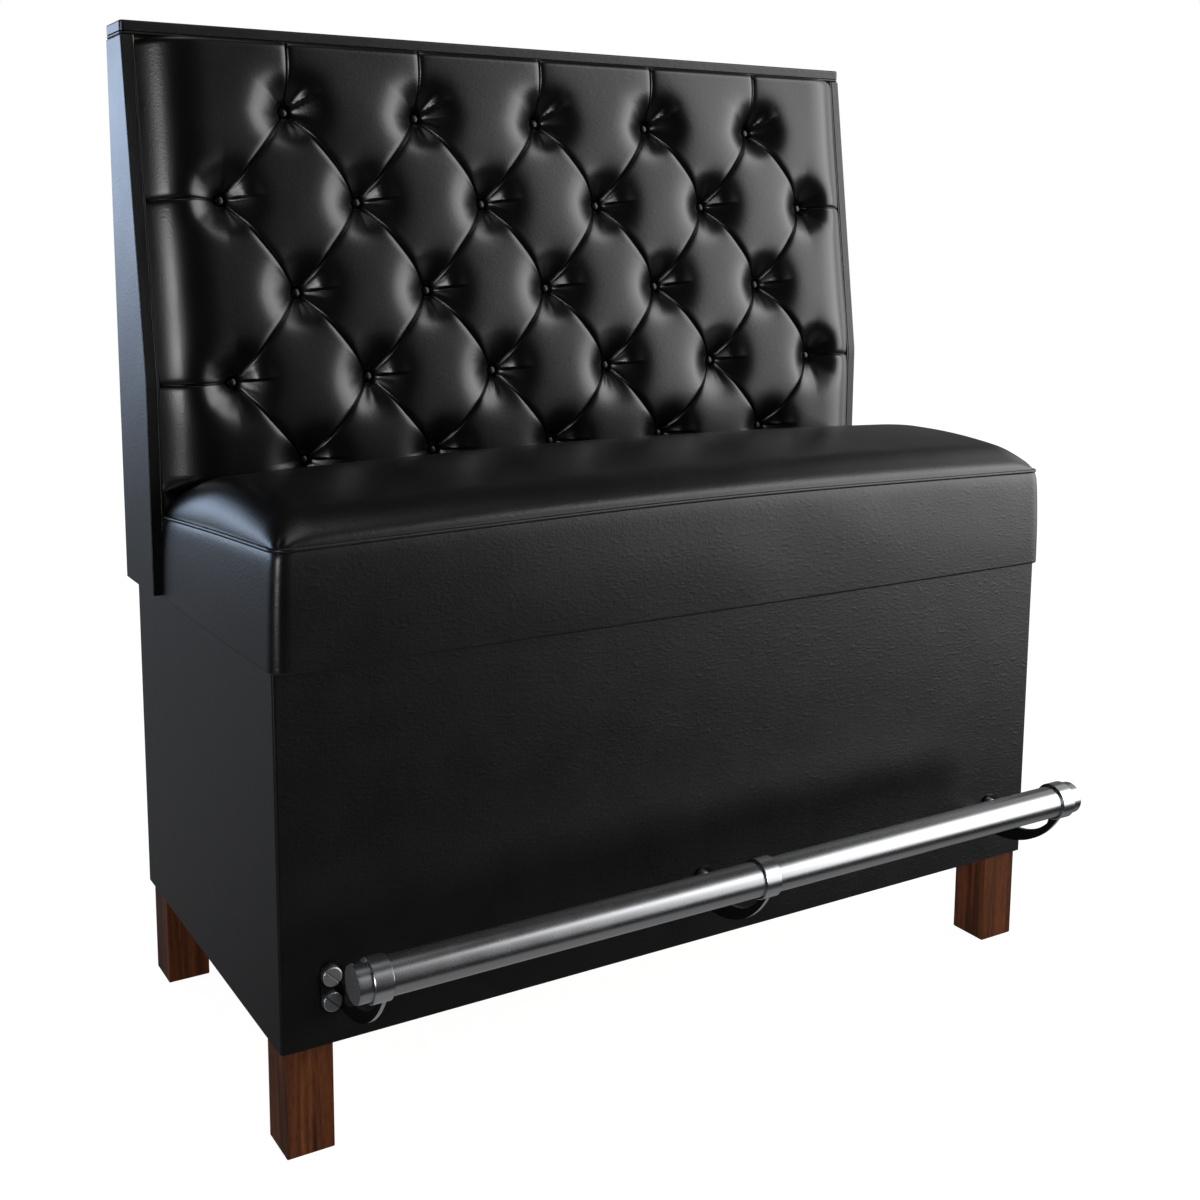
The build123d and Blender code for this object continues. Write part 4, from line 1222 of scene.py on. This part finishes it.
    def side_fold(self, row: int, direction: np.ndarray, radius: np.ndarray) -> np.ndarray:
        """A short fold to the right of a button, sharp on its lower edge and steeper in the top row.

        Args:
            row: the button's row, from 1 at the top.
            direction: directions from the button, up from level.
            radius: distances from the button's middle.

        Returns:
            Added heights.
        """
        beyond = np.clip((radius - self.fold_length) / self.fold_length, 0, 1)
        kept = 1 - beyond**2 * (3 - 2 * beyond)
        if row == 1:
            angle = direction - self.top_fold_turns[0]
            slope = np.interp(direction, self.top_fold_turns, self.top_fold_slopes)
            raised = slope * np.minimum(radius, self.fold_length)
        else:
            angle = direction - self.fold_tilt
            out = np.clip((radius - self.button_radius) / (self.fold_length - self.button_radius), 0, 1)
            raised = self.fold_rise * np.clip(1 - angle / self.fold_open, 0, 1) * out
        edge = np.clip(angle * np.maximum(radius, 1e-4) / self.fold_edge, 0, 1)
        return raised * edge * kept

    def draw_to_pleats(self, x: np.ndarray, z: np.ndarray) -> tuple[np.ndarray, np.ndarray]:
        """Crowd the grid towards the pleats, so that their narrow creases are well resolved.

        Args:
            x: places along the bench.
            z: heights above the floor.

        Returns:
            The moved places and heights.
        """
        best = np.full_like(x, np.inf)
        move_x, move_z = np.zeros_like(x), np.zeros_like(x)
        for pleat in self.pleats():
            from_button, off_x, off_z = pleat.nearest(x, z)
            distance = np.hypot(off_x, off_z)
            reach = np.minimum(self.pull_in, from_button * self.pull_share)
            share = np.clip(distance / np.maximum(reach, 1e-6), 0, 1)
            kept = self.closest + (1 - self.closest) * share
            closer = (distance < best) & (distance < reach)
            best = np.minimum(best, distance)
            move_x = np.where(closer, -off_x * (1 - kept), np.where(distance <= best, 0, move_x))
            move_z = np.where(closer, -off_z * (1 - kept), np.where(distance <= best, 0, move_z))
        return x + move_x, z + move_z

    def front_faces(self, rows: int, columns: int, first_mark: int) -> list[tuple[int, ...]]:
        """Faces of the front, cut into triangles along the slanting pleats between the buttons.

        Args:
            rows: how many grid rows there are.
            columns: how many grid columns there are.
            first_mark: the grid row through the top row of buttons.

        Returns:
            Corner numbers of each face.
        """
        faces = []
        middle = (columns - 1) // 2
        bands, cells = len(self.row_shares) - 1, self.even_count - 1
        for r in range(rows - 1):
            band = (r - first_mark) // self.steps
            for c in range(columns - 1):
                a, b = r * columns + c, r * columns + c + 1
                d, e = a + columns, b + columns
                cell = (c - middle) // self.steps
                in_lattice = 0 <= band < bands and -cells <= cell < cells
                if in_lattice and (cell + band) % 2 == 0:
                    faces += [(a, d, e), (a, e, b)]
                elif in_lattice:
                    faces += [(a, d, b), (b, d, e)]
                else:
                    faces.append((a, d, e, b))
        return faces

    def build(self, finishes: Finishes) -> bpy.types.Object:
        """Make the cushion with its pleats.

        Args:
            finishes: the booth's finishes.

        Returns:
            The cushion.
        """
        heights, first_mark = self.rows()
        grid_x, grid_z = self.draw_to_pleats(*np.meshgrid(self.columns(), heights))
        front = self.line.lift(grid_x, grid_z, self.heights_over(grid_x, grid_z))
        surface = np.concatenate([front, self.underside(front[-1])], axis=0)
        rows, columns = surface.shape[:2]
        faces = self.front_faces(rows, columns, first_mark)
        points, faces = self.close(surface.reshape(-1, 3), faces, rows, columns)
        piece = make_piece(
            "tufted_back_cover", points, faces, finishes, Slot.TUFTED_VINYL,
            "tufted_back_cushion",
        )
        return piece

    def underside(self, edge: np.ndarray) -> np.ndarray:
        """Rows that roll under to the seat and go down behind it.

        Args:
            edge: the lowest row of the front, one place per column.

        Returns:
            More rows of places.
        """
        rows = []
        rear = self.line.low_y + self.rear_gap
        x = edge[:, 0]
        contact = self.seat.crown(x, np.full_like(x, self.seat.rear_y)) + self.seat_gap
        for turn in np.linspace(0, math.pi / 2, self.under_steps + 1)[1:]:
            y = rear + (edge[:, 1] - rear) * math.cos(turn)
            over_seat = self.seat.crown(x, y) + self.seat_gap
            z = edge[:, 2] + (contact - edge[:, 2]) * math.sin(turn)
            rows.append(np.stack([x, y, np.maximum(z, over_seat)], axis=-1))
        for share in self.down_shares:
            z = contact + (self.bottom_z - contact) * share
            rows.append(np.stack([x, np.full_like(x, rear), z], axis=-1))
        return np.array(rows)

    def close(
        self, points: np.ndarray, faces: list, rows: int, columns: int
    ) -> tuple[np.ndarray, list]:
        """Close the cushion with flat sides, top, bottom and rear.

        Args:
            points: the front's places, row by row.
            faces: the front's faces.
            rows: how many rows there are.
            columns: how many columns there are.

        Returns:
            All places and all faces.
        """
        left = [r * columns for r in range(rows)]
        right = [r * columns + columns - 1 for r in range(rows)]
        sides = []
        for edge in (left, right):
            z = points[edge][:, 2]
            x = points[edge][:, 0]
            sides.append(self.line.lift(x, z, np.full_like(z, -self.sunk)))
        start = len(points)
        rear_left = [start + r for r in range(rows)]
        rear_right = [start + rows + r for r in range(rows)]
        for r in range(rows - 1):
            faces.append((left[r + 1], left[r], rear_left[r], rear_left[r + 1]))
            faces.append((right[r], right[r + 1], rear_right[r + 1], rear_right[r]))
            faces.append((rear_left[r + 1], rear_left[r], rear_right[r], rear_right[r + 1]))
        faces.append(tuple(range(columns)) + (rear_right[0], rear_left[0]))
        last = range((rows - 1) * columns, rows * columns)
        faces.append(tuple(reversed(last)) + (rear_left[-1], rear_right[-1]))
        return np.concatenate([points, *sides]), faces

    def button_mesh(self, x: float, z: float, first: int) -> tuple[list, list]:
        """One covered button: a crowned disc that lies in the cushion's dip.

        Args:
            x: its place along the bench.
            z: its height above the floor.
            first: the number of its first corner.

        Returns:
            Its corners and its faces.
        """
        sides = self.button_sides
        across = np.array([1.0, 0, 0])
        normal = self.line.normals(np.array([z]))[0]
        up = np.cross(across, normal)
        centre = self.line.lift(np.array([x]), np.array([z]), np.array([self.button_top]))[0]
        points = [centre]
        depth = 1 - self.button_profile[-1][1]
        for reach, rise in self.button_profile:
            lift = (rise - 1) * self.button_thickness / depth
            for k in range(sides):
                turn = 2 * math.pi * k / sides
                spot = across * math.cos(turn) - up * math.sin(turn)
                points.append(centre + spot * reach * self.button_radius + normal * lift)
        faces = [(first, first + 1 + k, first + 1 + (k + 1) % sides) for k in range(sides)]
        for ring in range(len(self.button_profile) - 1):
            for k in range(sides):
                a = first + 1 + ring * sides + k
                b = first + 1 + ring * sides + (k + 1) % sides
                faces.append((a, a + sides, b + sides, b))
        last = first + 1 + (len(self.button_profile) - 1) * sides
        faces.append(tuple(last + k for k in reversed(range(sides))))
        return points, faces

    def build_buttons(self, finishes: Finishes) -> list[bpy.types.Object]:
        """Make the covered buttons, one piece for each row.

        Args:
            finishes: the booth's finishes.

        Returns:
            The rows of buttons.
        """
        pieces = []
        for number in range(1, len(self.row_shares) + 1):
            points, faces = [], []
            for row, x, z in self.buttons():
                if row == number:
                    more_points, more_faces = self.button_mesh(x, z, len(points))
                    points += more_points
                    faces += more_faces
            pieces.append(
                make_piece(
                    f"covered_buttons_row_{number}", np.array(points), faces, finishes,
                    Slot.TUFTED_VINYL, f"tuft_buttons_row_{number}",
                )
            )
        return pieces


@dataclass(frozen=True)
class SoftPanel:
    """A soft-edged glow in the room round the booth, given by its direction.

    The centre, half the size and the soft edges are pairs: azimuth and elevation, in degrees.
    Azimuths run from straight ahead of the booth (0) to its right (90).
    """

    centre: tuple[float, float]
    half: tuple[float, float]
    soft: tuple[float, float]
    radiance: float
    colour: str = "ffffff"

    def add(
        self, tree: bpy.types.NodeTree, azimuth: bpy.types.NodeSocket, elevation: bpy.types.NodeSocket
    ) -> bpy.types.NodeSocket:
        """Add the panel's nodes.

        Args:
            tree: the world's node tree.
            azimuth: each ray's azimuth, in radians.
            elevation: each ray's elevation, in radians.

        Returns:
            The panel's share of the room's colour.
        """
        across, upward = (
            self.window(tree, angle, *sizes)
            for angle, *sizes in zip((azimuth, elevation), self.centre, self.half, self.soft)
        )
        level = add_node(
            tree, "ShaderNodeMath", {"operation": "MULTIPLY"}, links={0: across, 1: upward}
        )
        red, green, blue, _ = linear(self.colour)
        scaled = add_node(
            tree, "ShaderNodeVectorMath", {"operation": "SCALE"},
            {0: (red * self.radiance, green * self.radiance, blue * self.radiance)},
            {"Scale": level.outputs[0]},
        )
        return scaled.outputs[0]

    def window(
        self, tree: bpy.types.NodeTree, angle: bpy.types.NodeSocket, centre: float, half: float,
        soft: float,
    ) -> bpy.types.NodeSocket:
        """Add a smooth window over one angle.

        Args:
            tree: the world's node tree.
            angle: the angle, in radians.
            centre: the window's middle, in degrees.
            half: half its width, in degrees.
            soft: how far its edges fade to each side, in degrees.

        Returns:
            A value from 0 to 1.
        """
        turned = add_node(
            tree, "ShaderNodeMath", {"operation": "SUBTRACT"}, {1: math.radians(centre)}, {0: angle}
        )
        wrapped = add_node(
            tree, "ShaderNodeMath", {"operation": "WRAP"}, {1: math.pi, 2: -math.pi},
            {0: turned.outputs[0]},
        )
        away = add_node(
            tree, "ShaderNodeMath", {"operation": "ABSOLUTE"}, links={0: wrapped.outputs[0]}
        )
        shade = add_node(
            tree, "ShaderNodeMapRange", {"interpolation_type": "SMOOTHSTEP"},
            {"From Min": math.radians(half + soft), "From Max": math.radians(half - soft)},
            {"Value": away.outputs[0]},
        )
        return shade.outputs["Result"]


@dataclass
class Studio:
    """A pale floor, a room of soft light and the camera.

    Places are in metres, the camera's turns in degrees and its lens and sensor in millimetres.
    """

    camera_place: tuple[float, float, float] = (-1.1522, -1.7848, 1.0874)
    yaw: float = -30.035
    pitch: float = -8.333
    roll: float = -0.133
    lens: float = 45.13
    sensor: float = 36.0
    shift: tuple[float, float] = (0.04, -0.12)
    floor_size: float = 14.0
    floor_colour: str = "e6e6e6"
    floor_roughness: float = 0.9
    floor_glow: float = 1.2
    floor_glow_share: float = 0.8
    room_level: float = 0.02
    fill_level: float = 0.3
    panels: tuple[SoftPanel, ...] = (
        # The main soft light on the right, and its dimmer reach further round.
        SoftPanel((57, 17), (20.5, 26), (8, 8), 4.7),
        SoftPanel((90, 17), (25, 26), (12, 8), 1.2),
        # A small bright one on the left, which the folds beside the buttons mirror.
        SoftPanel((-63, 5), (8, 8), (6, 5), 14.0),
        # One overhead, which the seat and the rail mirror.
        SoftPanel((0, 90), (178, 15), (1, 8), 1.6),
        # A long cool window behind on the left, which the wing and the seat's end mirror.
        SoftPanel((-157, 5), (34, 3), (14, 12), 6.4, "cce1ff"),
        # Faint glows behind on the right, from the floor, and low down behind on the left.
        SoftPanel((120, 8), (22, 20), (8, 10), 0.17),
        SoftPanel((0, -90), (178, 51), (1, 7), 0.28),
        SoftPanel((-165, -14), (40, 14), (10, 10), 0.13),
    )

    def add_camera(self) -> None:
        """Place the camera where the photograph was taken from."""
        camera = bpy.data.cameras.new("camera")
        camera.lens = self.lens
        camera.sensor_width = self.sensor
        camera.shift_x, camera.shift_y = self.shift
        eye = bpy.data.objects.new("camera", camera)
        bpy.context.scene.collection.objects.link(eye)
        eye.location = self.camera_place
        eye.rotation_mode = "XYZ"
        eye.rotation_euler = (
            math.radians(90 + self.pitch), math.radians(self.roll), math.radians(self.yaw)
        )
        bpy.context.scene.camera = eye

    def add_world(self) -> None:
        """A white backdrop for the camera and a dim room with soft panels for everything else.

        Diffuse rays find a brighter room, so that the walnut shows its colour.
        """
        world = bpy.data.worlds.new("studio")
        bpy.context.scene.world = world
        world.use_nodes = True
        tree = world.node_tree
        tree.nodes.clear()
        way = add_node(tree, "ShaderNodeTexCoord").outputs["Generated"]
        parts = add_node(tree, "ShaderNodeSeparateXYZ", links={0: way})
        ahead = add_node(
            tree, "ShaderNodeMath", {"operation": "MULTIPLY"}, {1: -1.0}, {0: parts.outputs["Y"]}
        )
        azimuth = add_node(
            tree, "ShaderNodeMath", {"operation": "ARCTAN2"},
            links={0: parts.outputs["X"], 1: ahead.outputs[0]},
        ).outputs[0]
        elevation = add_node(
            tree, "ShaderNodeMath", {"operation": "ARCSINE"}, links={0: parts.outputs["Z"]}
        ).outputs[0]
        path = add_node(tree, "ShaderNodeLightPath")
        level = add_node(
            tree, "ShaderNodeMapRange",
            values={"To Min": self.room_level, "To Max": self.fill_level},
            links={"Value": path.outputs["Is Diffuse Ray"]},
        )
        total = level.outputs["Result"]
        for panel in self.panels:
            glow = panel.add(tree, azimuth, elevation)
            total = add_node(
                tree, "ShaderNodeVectorMath", {"operation": "ADD"}, links={0: total, 1: glow}
            ).outputs[0]
        room = add_node(tree, "ShaderNodeBackground", values={"Strength": 1.0}, links={"Color": total})
        white = add_node(
            tree, "ShaderNodeBackground", values={"Color": (1, 1, 1, 1), "Strength": 1.0}
        )
        seen = add_node(
            tree, "ShaderNodeMath", {"operation": "MAXIMUM"},
            links={0: path.outputs["Is Camera Ray"], 1: path.outputs["Is Transmission Ray"]},
        )
        mixed = add_node(
            tree, "ShaderNodeMixShader",
            links={0: seen.outputs[0], 1: room.outputs[0], 2: white.outputs[0]},
        )
        add_node(tree, "ShaderNodeOutputWorld", links={"Surface": mixed.outputs[0]})

    def add_floor(self) -> None:
        """A wide pale floor that shows as white and keeps a soft shadow, and isn't mirrored."""
        half = self.floor_size / 2
        corners = [(-half, -half, 0), (half, -half, 0), (half, half, 0), (-half, half, 0)]
        mesh = bpy.data.meshes.new("floor")
        mesh.from_pydata(corners, [], [(0, 1, 2, 3)])
        floor = bpy.data.objects.new("floor", mesh)
        bpy.context.scene.collection.objects.link(floor)
        material, tree, shader = new_material("pale_floor")
        shader.inputs["Base Color"].default_value = linear(self.floor_colour)
        shader.inputs["Roughness"].default_value = self.floor_roughness
        shader.inputs["Specular IOR Level"].default_value = 0.0
        path = add_node(tree, "ShaderNodeLightPath")
        white = add_node(
            tree, "ShaderNodeEmission", values={"Color": (1, 1, 1, 1), "Strength": self.floor_glow}
        )
        clear = add_node(tree, "ShaderNodeBsdfTransparent")
        share = add_node(
            tree, "ShaderNodeMath", {"operation": "MULTIPLY"}, {1: self.floor_glow_share},
            {0: path.outputs["Is Camera Ray"]},
        )
        seen = add_node(
            tree, "ShaderNodeMixShader",
            links={0: share.outputs[0], 1: shader.outputs["BSDF"], 2: white.outputs[0]},
        )
        mirrored = add_node(
            tree, "ShaderNodeMixShader",
            links={0: path.outputs["Is Glossy Ray"], 1: seen.outputs[0], 2: clear.outputs[0]},
        )
        output = next(node for node in tree.nodes if node.type == "OUTPUT_MATERIAL")
        tree.links.new(mirrored.outputs[0], output.inputs["Surface"])
        mesh.materials.append(material)

    def build(self) -> None:
        """Set up the floor, the room, the camera and the view transform."""
        bpy.context.scene.view_settings.view_transform = "Standard"
        self.add_floor()
        self.add_world()
        self.add_camera()


def seat_from_frame() -> Seat:
    """Take the seat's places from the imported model.

    Returns:
        The seat, ready to build.
    """
    _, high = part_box("seat_cushion")
    base_low, base_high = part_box("base_vinyl_cover")
    welt_inset = 9.2 * MM
    band_overhang = 11.4 * MM
    welt_overhang = 5.8 * MM
    return Seat(
        base_top=base_high.z,
        front_y=base_low.y,
        rear_y=high.y,
        bottom_half=high.x,
        seam_half=high.x - welt_inset,
        bottom_front=base_low.y - band_overhang,
        seam_front=base_low.y - welt_overhang,
    )


def back_from_frame(seat: Seat) -> TuftedBack:
    """Take the back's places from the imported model.

    Args:
        seat: the seat that the back stands on.

    Returns:
        The back, ready to build.
    """
    wing_low, wing_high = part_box("left_wing")
    cap_low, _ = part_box("top_cap")
    base_low, base_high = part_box("base_vinyl_cover")
    low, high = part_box("tufted_back_cushion")
    knee_share = 0.3906
    swell = 3.0 * MM
    over_frame = 2.0 * MM
    button_margin = 102.5 * MM
    knee = base_high.z + (wing_high.z - base_high.z) * knee_share
    line = BackLine(low_y=wing_low.y, top_y=cap_low.y, knee_z=knee, top_z=wing_high.z)
    between_outer = base_high.x - base_low.x - 2 * button_margin
    return TuftedBack(
        line=line,
        seat=seat,
        base_top=base_high.z,
        half_width=high.x + swell,
        top_z=high.z,
        bottom_z=low.z + over_frame,
        spacing=between_outer / (TuftedBack.even_count - 1),
    )


def main() -> None:
    """Build every piece in order and report it."""
    logging.basicConfig(level=logging.INFO, format="%(name)s: %(message)s")
    finishes = Finishes().make()
    finishes.dress_nodes()
    seat = seat_from_frame()
    seat.build(finishes)
    back = back_from_frame(seat)
    back.build(finishes)
    back.build_buttons(finishes)
    Studio().build()


if __name__ == "__main__":
    main()
